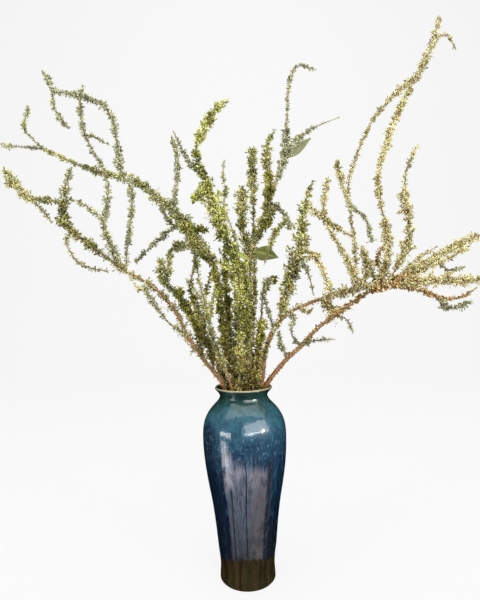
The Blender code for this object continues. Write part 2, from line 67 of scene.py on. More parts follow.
camera_data = bpy.data.cameras.new("level_camera")
camera_data.sensor_width = SENSOR_MM
camera_data.lens = SENSOR_MM * FOCAL_PX / FRAME_HEIGHT
camera_data.clip_start = 0.02
camera = bpy.data.objects.new("level_camera", camera_data)
bpy.context.scene.collection.objects.link(camera)
camera.matrix_world = (Matrix.Translation((VIEW_SIDE, -VIEW_DISTANCE, EYE_HEIGHT))
                       @ Matrix.Rotation(math.radians(90) + VIEW_PITCH, 4, "X")
                       @ Matrix.Rotation(-VIEW_ROLL, 4, "Z"))
bpy.context.scene.camera = camera
print("camera lens", round(camera_data.lens, 2), "mm")


def place(pixel, depth):
    """The point seen at a pixel that lies the given depth behind the vase's axis."""
    across = pixel[0] - FRAME_WIDTH / 2
    below = pixel[1] - FRAME_HEIGHT / 2
    right = across * math.cos(VIEW_ROLL) - below * math.sin(VIEW_ROLL)
    down = below * math.cos(VIEW_ROLL) + across * math.sin(VIEW_ROLL)
    ahead = FOCAL_PX * math.cos(VIEW_PITCH) + down * math.sin(VIEW_PITCH)
    rise = FOCAL_PX * math.sin(VIEW_PITCH) - down * math.cos(VIEW_PITCH)
    reach = (VIEW_DISTANCE + depth) / ahead
    return np.array((VIEW_SIDE + right * reach, depth, EYE_HEIGHT + rise * reach))


# %% [markdown]
# ## Colour and node helpers
# Colours are written as the sRGB hex values a designer would pick, and Blender's shaders want linear
# light, so one function does that sum. One small function adds a node, sets it and wires it, which keeps
# each material to a few lines. Every finish below is built up like coats of paint, a base with other
# colours over it, each where its own pattern says, so one more function lays such coats.

# %% Helpers for colours and shader nodes
MM = 0.001


def colour(hex_value):
    """Linear red, green, blue and alpha from a hex colour such as 2a5660."""
    channels = [int(hex_value[i:i + 2], 16) / 255 for i in (0, 2, 4)]
    linear = [c / 12.92 if c <= 0.04045 else ((c + 0.055) / 1.055) ** 2.4 for c in channels]
    return (*linear, 1.0)


def add(tree, kind, inputs=(), output=0, stops=(), **settings):
    """One output of a new node, with its settings made and its inputs fed in order or by their key.

    An input is a value or the output that feeds it. A ramp's stops are (position, hex colour).
    """
    node = tree.nodes.new("ShaderNode" + kind)
    for name, value in settings.items():
        setattr(node, name, value)
    for key, value in inputs.items() if isinstance(inputs, dict) else enumerate(inputs):
        if isinstance(value, bpy.types.NodeSocket):
            tree.links.new(value, node.inputs[key])
        else:
            node.inputs[key].default_value = value
    if stops:
        elements = node.color_ramp.elements
        while len(elements) < len(stops):
            elements.new(1.0)
        for element, (position, hex_value) in zip(elements, stops):
            element.position = position
            element.color = colour(hex_value)
    return node.outputs[output]


def coats(tree, base, layers):
    """A base with colours laid over it in turn, each by its own share, from 0 to 1 over the surface."""
    for share, over in layers:
        if isinstance(over, str):
            over = colour(over)
        base = add(tree, "Mix", {0: share, 6: base, 7: over}, 2, data_type="RGBA")
    return base


def new_material(name, **constants):
    """A material and its one Principled shader, whose constant sockets are set here."""
    material = bpy.data.materials.new(name)
    material.use_nodes = True
    shader = material.node_tree.nodes["Principled BSDF"]
    for key, value in constants.items():
        shader.inputs[key.replace("_", " ")].default_value = value
    return material, shader


def wire(shader, **outputs):
    """Feed the shader's inputs of these names."""
    for key, output in outputs.items():
        shader.id_data.links.new(output, shader.inputs[key.replace("_", " ")])


def deselect():
    if bpy.context.mode != "OBJECT":
        bpy.ops.object.mode_set(mode="OBJECT")
    bpy.ops.object.select_all(action="DESELECT")


print("helpers ready")

# %% [markdown]
# ## The floor
# A plain pale sheet runs back and curves up into a wall, so no corner shows behind the branches. It is
# lit from behind, as for a cut-out product picture, so it looks even and takes only faint shadows.

# %% The pale floor
FLOOR_HALF_WIDTH = 4.0
FLOOR_FRONT = -3.5
FLOOR_BACK = 2.6
COVE_RADIUS = 1.2
WALL_TOP = 4.5
COVE_STEPS = 16

deselect()
bpy.ops.mesh.primitive_plane_add(size=1, location=(0, 0, 0))
floor = bpy.context.object
floor.name = "pale_floor"
floor.data.transform(Matrix.Diagonal((2 * FLOOR_HALF_WIDTH, FLOOR_BACK - FLOOR_FRONT, 1, 1)))
floor.data.transform(Matrix.Translation((0, (FLOOR_BACK + FLOOR_FRONT) / 2, 0)))
bpy.ops.object.mode_set(mode="EDIT")
bpy.ops.mesh.select_all(action="DESELECT")
bpy.ops.object.mode_set(mode="OBJECT")
for edge in floor.data.edges:
    ends = [floor.data.vertices[i].co.y for i in edge.vertices]
    edge.select = min(ends) > FLOOR_BACK - 0.01
bpy.ops.object.mode_set(mode="EDIT")
bpy.context.tool_settings.mesh_select_mode = (False, True, False)
for step in range(COVE_STEPS):
    a, b = (math.radians(90) * s / COVE_STEPS for s in (step, step + 1))
    move = (0, COVE_RADIUS * (math.sin(b) - math.sin(a)), COVE_RADIUS * (math.cos(a) - math.cos(b)))
    bpy.ops.mesh.extrude_region_move(TRANSFORM_OT_translate={"value": move})
bpy.ops.mesh.extrude_region_move(TRANSFORM_OT_translate={"value": (0, 0, WALL_TOP - COVE_RADIUS)})
bpy.ops.object.mode_set(mode="OBJECT")
floor.data.shade_smooth()
acrylic, shader = new_material("backlit_white_acrylic_sheet", Roughness=0.9, Specular_IOR_Level=0.1,
                               Base_Color=colour("525252"), Emission_Color=colour("fafafa"),
                               Emission_Strength=0.87)
floor.data.materials.append(acrylic)
# The glaze does not mirror the floor; the grey-mauve of its panels is partly a painted reflection of it.
floor.visible_glossy = False
print("floor of", len(floor.data.polygons), "faces")

# %% [markdown]
# ## The light
# The leaves are lit by broad soft lights, from above, the front and both sides. Glossy glaze shows what
# stands round it, so windows and cards are set up as well that only the glaze mirrors.

# %% Soft studio lights
LIGHT_CENTRE = Vector((0, 0, 0.33))
WALL_WASH_AT = Vector((0, 1.2, 3.4))
WALL_WASH_AIM = Vector((0, 3.8, 1.4))
WALL_WASH_WIDTH = 3.0
WALL_WASH_WATTS = 50
ROOM_LIGHT = 0.62
LIGHTS = [
    # name, degrees round to the right, degrees up, metres away, width, height, watts, what it reaches
    ("broad_top", -40, 70, 2.4, 2.2, 2.0, 34, "matt"),
    ("left_soft", -53, 7, 2.0, 0.30, 0.50, 7, "matt"),
    ("front_soft", 15, 35, 2.2, 1.05, 0.40, 19, "matt"),
    ("right_fill", 68, 30, 2.6, 1.6, 1.6, 12, "matt"),
    ("left_fill", -70, 25, 2.6, 1.6, 1.6, 8, "matt"),
    ("right_lamp", 51, 8, 2.0, 0.26, 0.26, 11, "all"),
    ("wide_window", 36, 22, 2.4, 3.0, 1.6, 42, "glaze"),
    ("window_sill", 21, 7, 2.2, 1.5, 0.14, 4.5, "glaze"),
    ("left_window", -53, 0, 1.5, 0.75, 0.26, 3.4, "glaze"),
    ("low_left_card", -54, -22, 0.60, 0.12, 0.20, 0.26, "glaze"),
    ("overhead_softbox", 8, 76, 1.6, 3.2, 0.75, 8.5, "glaze"),
]


def area_light(name, width, height, watts, spot, aim):
    """A rectangular light at a spot, turned to face its aim."""
    light = bpy.data.lights.new(name, "AREA")
    light.shape = "RECTANGLE"
    light.size = width
    light.size_y = height
    light.energy = watts
    lamp = bpy.data.objects.new(name, light)
    bpy.context.scene.collection.objects.link(lamp)
    lamp.location = spot
    lamp.rotation_euler = (aim - spot).to_track_quat("-Z", "Y").to_euler()
    return lamp


for name, around, up, away, width, height, watts, reaches in LIGHTS:
    around, up = math.radians(around), math.radians(up)
    toward = Vector((math.cos(up) * math.sin(around), -math.cos(up) * math.cos(around), math.sin(up)))
    lamp = area_light(name, width, height, watts, LIGHT_CENTRE + toward * away, LIGHT_CENTRE)
    lamp.visible_camera = False
    lamp.visible_glossy = reaches != "matt"
    lamp.visible_diffuse = reaches != "glaze"
area_light("wall_wash", WALL_WASH_WIDTH, WALL_WASH_WIDTH, WALL_WASH_WATTS, WALL_WASH_AT, WALL_WASH_AIM)

world = bpy.data.worlds.new("soft_room")
bpy.context.scene.world = world
world.use_nodes = True
room = world.node_tree.nodes["Background"]
room.inputs["Color"].default_value = colour("f6f7f8")
room.inputs["Strength"].default_value = ROOM_LIGHT
world.cycles_visibility.glossy = False
bpy.context.scene.view_settings.view_transform = "Standard"
print(len(LIGHTS) + 1, "soft lights")

# %% [markdown]
# ## The vase
# A vase is turned on a wheel, so it starts here as one outline, from the middle of the foot up the
# outside, over the lip and down the inside to the floor. Where the real outline has a smooth curve, the
# points follow a smooth curve through a few measured stations.

# %% The vase's outline
VASE_HEIGHT = 0.400
VASE_OUTSIDE = [
    (0.0015, 0.0583), (0.0130, 0.0578), (0.0310, 0.0571), (0.0650, 0.0602), (0.1000, 0.0636),
    (0.1330, 0.0673), (0.1670, 0.0722), (0.2000, 0.0782), (0.2360, 0.0836), (0.2650, 0.0866),
    (0.2910, 0.0878), (0.3120, 0.0871), (0.3300, 0.0835), (0.3470, 0.0750), (0.3600, 0.0642),
    (0.3700, 0.0550), (0.3800, 0.0500), (0.3870, 0.0525), (0.3930, 0.0575), (0.3970, 0.0604),
    (VASE_HEIGHT, 0.0592),
]
VASE_INSIDE = [
    (0.3975, 0.0559), (0.3880, 0.0480), (0.3800, 0.0452), (0.3700, 0.0497), (0.3550, 0.0632),
    (0.3300, 0.0777), (0.2910, 0.0825), (0.2360, 0.0783), (0.1670, 0.0669), (0.1000, 0.0582),
    (0.0120, 0.0492),
]
OUTLINE_STEP = 0.0032
INSIDE_COARSER = 3.2
FOOT_RINGS = [(0, 0), (0.030, 0), (0.055, 0), (0.0572, 0.0002)]


def smooth_through(points, step):
    """Points a step apart on a smooth curve through the given ones, as rows of an array."""
    points = [np.asarray(point, float) for point in points]
    ends = [points[0] * 2 - points[1], *points, points[-1] * 2 - points[-2]]
    path = []
    for before, start, stop, after in zip(ends, ends[1:], ends[2:], ends[3:]):
        pieces = max(1, round(float(np.linalg.norm(stop - start)) / step))
        for t in np.arange(pieces) / pieces:
            path.append((start * 2 + (stop - before) * t
                         + (before * 2 - start * 5 + stop * 4 - after) * t ** 2
                         + (start * 3 - before - stop * 3 + after) * t ** 3) / 2)
    path.append(points[-1])
    return np.array(path)


outside = smooth_through([(r, z) for z, r in VASE_OUTSIDE], OUTLINE_STEP)
inside = smooth_through([(r, z) for z, r in VASE_INSIDE], OUTLINE_STEP * INSIDE_COARSER)
floor_level = VASE_INSIDE[-1][0]
outline = [*FOOT_RINGS, *outside, *inside, (FOOT_RINGS[1][0], floor_level), (0, floor_level)]
print("outline of", len(outline), "points")

# %% [markdown]
# ## On the wheel
# The outline is drawn by extruding a single point from place to place, and then it is spun once round
# the axis.

# %% Spin the vase
VASE_STEPS = 216

deselect()
bpy.ops.mesh.primitive_plane_add(size=0.01)
vase = bpy.context.object
vase.name = "glazed_vase"
bpy.ops.object.mode_set(mode="EDIT")
bpy.context.tool_settings.mesh_select_mode = (True, False, False)
bpy.ops.mesh.merge(type="CENTER")
here = (0.0, 0.0)
for point in outline[1:]:
    bpy.ops.mesh.extrude_region_move(
        TRANSFORM_OT_translate={"value": (point[0] - here[0], 0, point[1] - here[1])})
    here = point
bpy.ops.mesh.select_all(action="SELECT")
bpy.ops.mesh.spin(steps=VASE_STEPS, angle=2 * math.pi, center=(0, 0, 0), axis=(0, 0, 1))
bpy.ops.mesh.select_all(action="SELECT")
bpy.ops.mesh.remove_doubles(threshold=0.00002)
bpy.ops.mesh.normals_make_consistent(inside=False)
bpy.ops.object.mode_set(mode="OBJECT")
vase.data.shade_smooth()
print("vase of", len(vase.data.polygons), "faces")

# %% [markdown]
# ## Where the glaze lies
# The glaze was poured thick and ran in the kiln. It ends above the foot in a ragged line of drips, and
# a few long runs stand a little proud all the way down. The height of that line is worked out round the
# vase from a few waves, and each run has its own angle. The points are moved out by half a millimetre
# where the glaze is, and its share is kept on the points as an attribute that the colours follow.

# %% Glaze thickness and runs
GLAZE_EDGE = 0.060
DRIP_REACH = 0.0035
BAND_DIP = 0.0065
GLAZE_PROUD = 0.5 * MM
RUN_PROUD = 0.7 * MM
EDGE_SOFTNESS = 0.9 * MM
LIP_BARE_FROM = 0.3980
LIP_SOFTNESS = 0.35 * MM
FOOT_FLAT_TO = 0.0012
RUN_TOP = 0.285
RUNS = [
    # degrees round from the front to the right, half width in degrees
    (-68, 3.0), (-47, 7.0), (-34, 5.0), (-22, 1.8), (0, 1.6), (34, 7.0), (53, 2.2), (83, 2.4),
    (118, 3.0), (150, 2.2), (176, 6.0), (-152, 2.4), (-125, 3.0), (-96, 5.0),
]


def waves(angle, orders, seed):
    """A sum of waves round the vase, with random phases, about -1 to 1."""
    draw = np.random.default_rng(seed)
    total = np.zeros_like(angle)
    for order in orders:
        total += np.cos(order * angle + draw.uniform(0, 2 * math.pi)) * draw.uniform(0.5, 1.0)
    return total / len(orders) ** 0.5


def vertex_rows(mesh, key):
    """A vector of every point of a mesh, such as its place or its normal, as rows."""
    rows = np.zeros(len(mesh.vertices) * 3, np.float32)
    mesh.vertices.foreach_get(key, rows)
    return rows.reshape(-1, 3).astype(float)


spots = vertex_rows(vase.data, "co")
normals = vertex_rows(vase.data, "normal")
angle = np.arctan2(spots[:, 0], -spots[:, 1])
height = spots[:, 2]
facing_out = (normals[:, 0] * spots[:, 0] + normals[:, 1] * spots[:, 1]) > 0
outer = facing_out | (height > LIP_BARE_FROM)
edge_height = (GLAZE_EDGE - DRIP_REACH * np.clip(waves(angle, (7, 11, 19, 31), 3), -0.6, 1.2)
               + BAND_DIP * np.cos(3 * angle))
glaze = 1 / (1 + np.exp(-(height - edge_height) / EDGE_SOFTNESS))
glaze *= 1 / (1 + np.exp((height - LIP_BARE_FROM) / LIP_SOFTNESS))
glaze = np.where(outer, glaze, 1.0)
ridges = np.zeros(len(spots))
for degrees, half_width in RUNS:
    apart = (angle - math.radians(degrees) + math.pi) % (2 * math.pi) - math.pi
    ridges += np.exp(-(apart / math.radians(half_width * 0.9)) ** 2)
run_mask = np.clip((RUN_TOP - height) / 0.05, 0, 1) * np.clip((height - edge_height) / 0.01, 0, 1)
moved = spots + normals * ((glaze * GLAZE_PROUD + ridges * run_mask * RUN_PROUD) * outer)[:, None]
moved[height < FOOT_FLAT_TO, 2] = np.maximum(spots[height < FOOT_FLAT_TO, 2], 0)
vase.data.vertices.foreach_set("co", moved.astype(np.float32).ravel())
vase.data.attributes.new("glaze", "FLOAT", "POINT").data.foreach_set("value", glaze.astype(np.float32))
vase.data.update()
print("glaze line from", round(float(edge_height.min()) * 1000), "to",
      round(float(edge_height.max()) * 1000), "mm")

# %% [markdown]
# ## Stoneware glaze
# This is a poured stoneware glaze, fired until it melts to glass: green where it is thin on the neck,
# teal with pale flecks on the shoulder, deep blue on the body and grey-mauve in broad bands where it ran
# thick, that grey-mauve partly a painted reflection of the pale floor. A clear coat gives the sharp
# mirror on top. The patterns in it are noises, long in the way that the glaze ran. The size of each is
# given in mm, so that they stay the right size on any vase.

# %% The noises in the glaze
glaze_finish, shader = new_material("poured_stoneware_glaze", Roughness=0.25, IOR=1.5, Coat_Weight=1.0,
                                    Coat_Roughness=0.04, Coat_IOR=1.6)
GLAZE_NOISES = {
    # name: size in mm along x, y and z, detail, roughness, distortion
    "streaks": ((6.67, 6.67, 143), 4.0, 0.6, 0.15),
    "fine_fur": ((2.38, 2.38, 45.5), 3.0, 0.65, 0.0),
    "cloud": ((41.7, 41.7, 100), 3.0, 0.55, 0.0),
    "flecks": ((4.17, 4.17, 8.0), 3.0, 0.7, 1.0),
    "mottle": ((10.53, 10.53, 23.8), 3.0, 0.6, 0.0),
    "swell": ((29.4, 29.4, 62.5), 2.0, 0.5, 0.0),
    "orange_peel": ((3.85, 3.85, 5.26), 2.0, 0.5, 0.0),
    "dimples": ((8.33, 8.33, 14.3), 2.0, 0.5, 0.0),
}
tree = glaze_finish.node_tree
where = add(tree, "TexCoord", output="Object")
split = add(tree, "SeparateXYZ", [where]).node
field = {"x": split.outputs["X"], "y": split.outputs["Y"], "z": split.outputs["Z"]}
for name, (sizes, detail, roughness, distortion) in GLAZE_NOISES.items():
    placed = add(tree, "Mapping", {"Vector": where, "Scale": [1 / (size * MM) for size in sizes]})
    field[name] = add(tree, "TexNoise", {"Vector": placed, "Scale": 1.0, "Detail": detail,
                                         "Roughness": roughness, "Distortion": distortion}, "Fac")
print(len(GLAZE_NOISES), "noises")

# %% [markdown]
# ## Where each colour of the glaze lies
# Three broad panels are grey-mauve, with ragged tops, a furred surface and a browner right side; their
# grey-mauve is partly the glaze's own colour and partly a painted reflection of the pale floor. The runs
# between and across them are nearly black, a nearly white streak beside the front panel is a painted
# reflection, and the left side of the vase is darker with painted shade. Each of these is a share from 0
# to 1 over the surface. The table says how each is worked out from the noises, the height and the turn
# round the vase, line by line.

# %% The shares of the glaze's colours
PANELS_ROUND = 3.0
PANEL_TOP = 0.256
# Degrees round from the front of the painted reflection streak and of the painted shade on the left side.
PAINTED_REFLECTION_AT = -23
SHADED_SIDE_AT = -88
GLAZE_SHARES = [
    # name, sum, and the shares and numbers that it takes; a RISE goes smoothly from 0, where its share
    # has the first number, to 1, or to its third number, where it has the second
    ("drift", "MULTIPLY_ADD", "cloud", 0.08, -0.04),
    ("level", "ADD", "z", "drift"),
    ("level_share", "DIVIDE", "level", VASE_HEIGHT),
    ("ahead", "MULTIPLY", "y", -1.0),
    ("angle", "ARCTAN2", "x", "ahead"),
    ("wobble", "MULTIPLY_ADD", "cloud", 0.09, -0.045),
    ("turn", "ADD", "angle", "wobble"),
    ("panel_turn", "MULTIPLY_ADD", "turn", PANELS_ROUND, -0.2),
    ("panel_wave", "COSINE", "panel_turn"),
    ("frayed_wave", "MULTIPLY_ADD", "streaks", 0.5, "panel_wave"),
    ("across_panel", "RISE", "frayed_wave", -0.10, 0.12),
    ("ragged", "MULTIPLY_ADD", "streaks", 0.12, -0.06),
    ("panel_level", "ADD", "level", "ragged"),
    ("under_top", "RISE", "panel_level", PANEL_TOP + 0.02, PANEL_TOP - 0.02),
    ("in_panel", "MULTIPLY", "across_panel", "under_top"),
    ("panel", "MULTIPLY", "in_panel", 0.92),
    ("half_streaks", "MULTIPLY", "streaks", 0.5),
    ("furred", "MULTIPLY_ADD", "fine_fur", 0.5, "half_streaks"),
    ("grain", "RISE", "furred", 0.58, 0.38, 0.6),
    ("brown_side", "RISE", "turn", math.radians(-2), math.radians(22), 0.55),
    ("run_level", "RISE", "panel_level", RUN_TOP + 0.01, RUN_TOP - 0.03),
    # Painted reflection: a nearly white streak beside the front panel, between these heights.
    ("from_painted_reflection", "SUBTRACT", "turn", math.radians(PAINTED_REFLECTION_AT)),
    ("off_painted_reflection", "ABSOLUTE", "from_painted_reflection"),
    ("painted_reflection_width", "RISE", "off_painted_reflection", math.radians(6), math.radians(2.5), 0.75),
    ("painted_reflection_top", "RISE", "panel_level", 0.292, 0.272),
    ("painted_reflection_foot", "RISE", "z", 0.205, 0.225),
    ("painted_reflection_part", "MULTIPLY", "painted_reflection_width", "painted_reflection_top"),
    ("painted_reflection_streak", "MULTIPLY", "painted_reflection_part", "painted_reflection_foot"),
    ("dark_mottle", "RISE", "mottle", 0.50, 0.36, 0.45),
    ("light_mottle", "RISE", "mottle", 0.54, 0.72, 0.40),
    # Painted shade on the left side of the vase, below the shoulder.
    ("from_shaded_side", "SUBTRACT", "turn", math.radians(SHADED_SIDE_AT)),
    ("shaded_side_wave", "COSINE", "from_shaded_side"),
    ("shaded_side_width", "RISE", "shaded_side_wave", 0.55, 0.85, 0.75),
    ("shaded_side_top", "RISE", "level", 0.345, 0.315),
    ("painted_shade_side", "MULTIPLY", "shaded_side_width", "shaded_side_top"),
    ("light_fur", "RISE", "fine_fur", 0.58, 0.76, 0.35),
    ("shoulder_foot", "RISE", "z", 0.235, 0.285),
    ("shoulder_top", "RISE", "z", 0.345, 0.310),
    ("shoulder", "MULTIPLY", "shoulder_foot", "shoulder_top"),
    ("all_flecks", "RISE", "flecks", 0.56, 0.68, 0.6),
    ("pale_flecks", "MULTIPLY", "all_flecks", "shoulder"),
    ("near_lip", "GREATER_THAN", "z", 0.39),
    ("peel", "MULTIPLY_ADD", "orange_peel", 0.08, "swell"),
    ("relief", "MULTIPLY_ADD", "dimples", 0.34, "peel"),
]
for degrees, half_width in RUNS:
    run = f"run at {degrees}"
    GLAZE_SHARES += [
        (run + ", turn", "SUBTRACT", "turn", math.radians(degrees)),
        (run + ", turn", "WRAP", run + ", turn", math.pi, -math.pi),
        (run + ", turn", "ABSOLUTE", run + ", turn"),
        (run, "RISE", run + ", turn", math.radians(half_width), math.radians(half_width * 0.3), 0.85),
        (run, "MULTIPLY", run, "run_level"),
    ]
for name, how, *values in GLAZE_SHARES:
    values = [field[value] if isinstance(value, str) else value for value in values]
    if how == "RISE":
        share, low, high, *top = values
        field[name] = add(tree, "MapRange", [share, low, high, 0.0, *(top or [1.0])],
                          interpolation_type="SMOOTHSTEP")
    else:
        field[name] = add(tree, "Math", values, operation=how)
print(len(field), "shares")

# %% [markdown]
# ## The coats of the glaze
# Now the colours are laid over each other. The body runs from near black at the foot to green at the
# neck, and the panels, runs, mottle and flecks go over it. The foot shows olive-brown slip, and the lip
# a cream line where the glaze ran off the edge. Slow waves in the surface break up what it mirrors.

# %% Glaze colours and surface
by_height = add(tree, "ValToRGB", [field["level_share"]], "Color", [
    (0.12, "1b1a17"), (0.24, "17191c"), (0.34, "0f1b2c"), (0.48, "10263e"), (0.66, "17334c"),
    (0.76, "1f4258"), (0.83, "31596a"), (0.89, "315a63"), (0.935, "24453f"), (0.98, "12271f")])
# Grey-mauve for the panels, lighter higher up: partly the glaze's colour, partly a painted reflection of
# the pale floor.
mauve_and_reflection_by_height = add(tree, "ValToRGB", [field["level_share"]], "Color", [
    (0.15, "3a3736"), (0.29, "4b4b50"), (0.43, "565a66"), (0.52, "686b77"), (0.59, "8a8996"),
    (0.66, "8a8896")])
slip = add(tree, "ValToRGB", [field["streaks"]], "Color", [
    (0.3, "17130a"), (0.5, "2e2814"), (0.75, "43311c")])
mauve_glaze_and_reflection = coats(tree, mauve_and_reflection_by_height, [(field["grain"], "2b3347"), (field["brown_side"], "5e5350")])
body = coats(tree, by_height, [
    (field["panel"], mauve_glaze_and_reflection),
    *((field[f"run at {degrees}"], "0a1226") for degrees, half_width in RUNS),
    # Painted reflection: the nearly white streak beside the front panel.
    (field["painted_reflection_streak"], "9c99a4"), (field["dark_mottle"], "0c2434"), (field["light_mottle"], "3a6470"),
    # Painted shade: the darker left side.
    (field["painted_shade_side"], "0b1828"), (field["light_fur"], "41687c"), (field["pale_flecks"], "7496a6")])
on_glaze = add(tree, "Attribute", output="Fac", attribute_name="glaze")
surface = coats(tree, slip, [(field["near_lip"], "cfc292"), (on_glaze, body)])
bump = add(tree, "Bump", {"Strength": 0.5, "Distance": 2.6 * MM, "Height": field["relief"]})
wire(shader, Base_Color=surface, Normal=bump, Coat_Normal=bump)
vase.data.materials.append(glaze_finish)
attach(vase, "root")
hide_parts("vase")
print("glaze has", len(tree.nodes), "nodes")

# %% [markdown]
# ## Water
# The branches are fresh, so the vase holds water to a little over half its height. Its solid already has
# a round hole for each stem and follows the inner wall, so it stays, and only its finish changes: clear
# water, faintly green, which bends light by a third more than air, with a slight ripple.

# %% Water finish
RIPPLE_MM = 41.7
water_finish, shader = new_material("still_water", Roughness=0.02, IOR=1.333, Transmission_Weight=1.0,
                                    Base_Color=colour("dfe9e0"))
tree = water_finish.node_tree
ripple = add(tree, "TexNoise", {"Vector": add(tree, "TexCoord", output="Object"),
                                "Scale": 1 / (RIPPLE_MM * MM), "Detail": 1.0}, "Fac")
wire(shader, Normal=add(tree, "Bump", {"Strength": 0.08, "Distance": 1.0 * MM, "Height": ripple}))
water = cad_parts["water"]
water.data.materials.clear()
water.data.materials.append(water_finish)

# %% [markdown]
# ## The branches' routes
# Each branch is one woody stem with side shoots. A route is a list of picture places, the same ones that
# the solid model follows, with a depth at its end, so the finer wood and leaves below lie exactly on the
# solids that they dress. The last few short shoots of some branches are only here: they are too slight
# for the solid model. With each route go its bare share, the tone of its leaves, and how far the leaves
# reach from the stem, in mm at even steps from its root to its tip. The left branches come first: two
# long ones that arch over, and two short ones beside the middle.

# %% Routes of the left branches
# Where a branch passes the neck (mm), its stem's radii (mm), its depths (mm) and its shoots.
Branch = namedtuple("Branch", "name neck stem_mm depths shoots")
# A route, its end depth (mm), its nearly bare share, its tone and its leaves' reach (mm) along it.
Shoot = namedtuple("Shoot", "route depth bare tone reach")

BRANCHES = [
    Branch("branch_low_left", (-34, -12), (4.4, 1.3), (-14, -110), [
        Shoot([(222, 383), (208, 365), (197, 350), (187, 335), (180, 320), (173, 308), (159, 292),
               (142, 280), (124, 270), (106, 257), (88, 243), (72, 231), (63, 220), (62, 204),
               (46, 200), (31, 199), (15, 185), (7, 172)], None, 0.62, "olive",
              [12, 7, 10, 15, 14, 13, 11, 15, 9, 13, 10, 10, 13, 8, 6, 13, 13]),
        Shoot([(127, 271), (127, 250), (131, 218), (131, 190), (120, 168), (117, 140), (112, 117),
               (101, 104), (82, 97), (65, 93), (52, 90), (49, 81), (42, 72)], -30, 0.1, "grey",
              [7, 10, 6, 7, 9, 10, 9, 7, 8, 9, 7, 7, 4]),
        Shoot([(52, 90), (54, 106), (59, 117), (67, 128)], -30, 0.0, "grey", [6, 6, 7]),
        Shoot([(120, 267), (112, 249), (104, 226), (108, 192), (103, 168), (93, 152), (85, 134),
               (81, 117), (80, 99), (83, 85)], -150, 0.05, "grey", [8, 14, 10, 9, 9, 7, 4, 5, 6, 4, 4]),
        Shoot([(85, 134), (94, 137), (109, 145)], -175, 0.0, "grey", [4, 2]),
        Shoot([(62, 204), (66, 185), (71, 168)], -90, 0.0, "grey", [6, 10, 5]),
        Shoot([(62, 202), (73, 200), (86, 206), (103, 220)], -125, 0.0, "grey", [4, 4, 5]),
        Shoot([(31, 199), (43, 211), (52, 223)], -125, 0.1, "grey", [5, 5, 2]),
        Shoot([(72, 231), (66, 241), (75, 259), (90, 268), (108, 271)], -125, 0.0, "grey", [4, 4, 4, 4]),
        Shoot([(187, 335), (170, 324), (155, 305), (144, 287)], -75, 0.1, "grey", [12, 3, 6, 11]),
        Shoot([(204, 359), (199, 338), (193, 318), (183, 303), (178, 290)], -48, 0.1, "green",
              [11, 8, 7, 11, 9]),
        Shoot([(213, 371), (211, 350), (206, 332), (202, 316)], -38, 0.1, "green", [6, 7, 4, 2]),
        Shoot([(222, 383), (213, 366), (206, 350)], -22, 1.0, "russet", [3, 3, 4]),
        Shoot([(224, 384), (218, 366), (214, 346)], -10, 1.0, "russet", [3, 3, 3]),
        Shoot([(217, 377), (204, 362), (192, 345)], -40, 1.0, "russet", [2, 3, 5]),
        Shoot([(124, 270), (118, 262), (114, 252)], -60, 0.0, "gold", [8, 8, 6]),
        Shoot([(150, 287), (140, 290), (134, 284)], -40, 0.0, "gold", [6, 6, 4]),
    ]),
    Branch("branch_high_left", (-28, 16), (3.3, 1.1), (16, 165), [
        Shoot([(229, 384), (225, 340), (221, 300), (214, 266), (200, 243), (180, 218), (160, 200),
               (144, 187), (128, 178), (107, 174), (84, 167), (65, 159), (42, 148), (33, 139),
               (24, 128), (28, 108)], None, 0.18, "moss",
              [3, 4, 10, 9, 5, 8, 12, 18, 18, 17, 14, 14, 11, 12, 7, 6, 7, 2, 6, 5]),
        Shoot([(172, 210), (177, 182), (177, 158), (172, 138)], 150, 0.05, "grey", [12, 8, 8, 9, 5]),
        Shoot([(42, 148), (22, 147), (3, 145)], 185, 0.0, "grey", [6, 2, 11]),
        Shoot([(185, 224), (173, 228), (158, 240), (136, 261)], 90, 0.1, "grey", [7, 11, 5, 8]),
        Shoot([(160, 200), (165, 216), (177, 229)], 130, 0.0, "grey", [6, 7, 5]),
        Shoot([(214, 266), (204, 258), (194, 244), (188, 228)], 70, 0.0, "green", [3, 8, 21]),
        Shoot([(192, 233), (199, 228), (205, 231)], 60, 0.0, "green", [9, 10, 8]),
        Shoot([(190, 232), (188, 243), (195, 254)], 66, 0.0, "grey", [8, 8, 6]),
    ]),
    Branch("branch_left_inner", (-16, 31), (2.4, 1.0), (31, 110), [
        Shoot([(230, 384), (211, 350), (197, 330), (186, 310), (178, 296), (166, 284), (161, 273),
               (162, 261)], None, 0.0, "moss", [8, 8, 8, 8, 10, 11, 11, 14]),
        Shoot([(165, 283), (169, 268), (171, 251), (184, 245)], 100, 0.0, "moss", [11, 10, 15]),
    ]),
    Branch("branch_left_short", (-20, -28), (2.4, 1.0), (-38, -95), [
        Shoot([(231, 386), (222, 361), (213, 337), (206, 310), (200, 284), (197, 266), (195, 251)],
              None, 0.15, "moss", [5, 3, 9, 9, 5, 6, 4, 10]),
        Shoot([(206, 310), (197, 293), (188, 281)], -85, 0.1, "grey", [6, 5, 5]),
        Shoot([(209, 324), (212, 304), (216, 290)], -60, 0.1, "moss", [7, 8, 3]),
    ]),
]
print(len(BRANCHES), "branches so far")

# %% [markdown]
# ## Routes in the middle
# The middle branches stand nearly upright: a bright one that arches, a thin one, a dense one, an
# upright one and a tall hooked one.

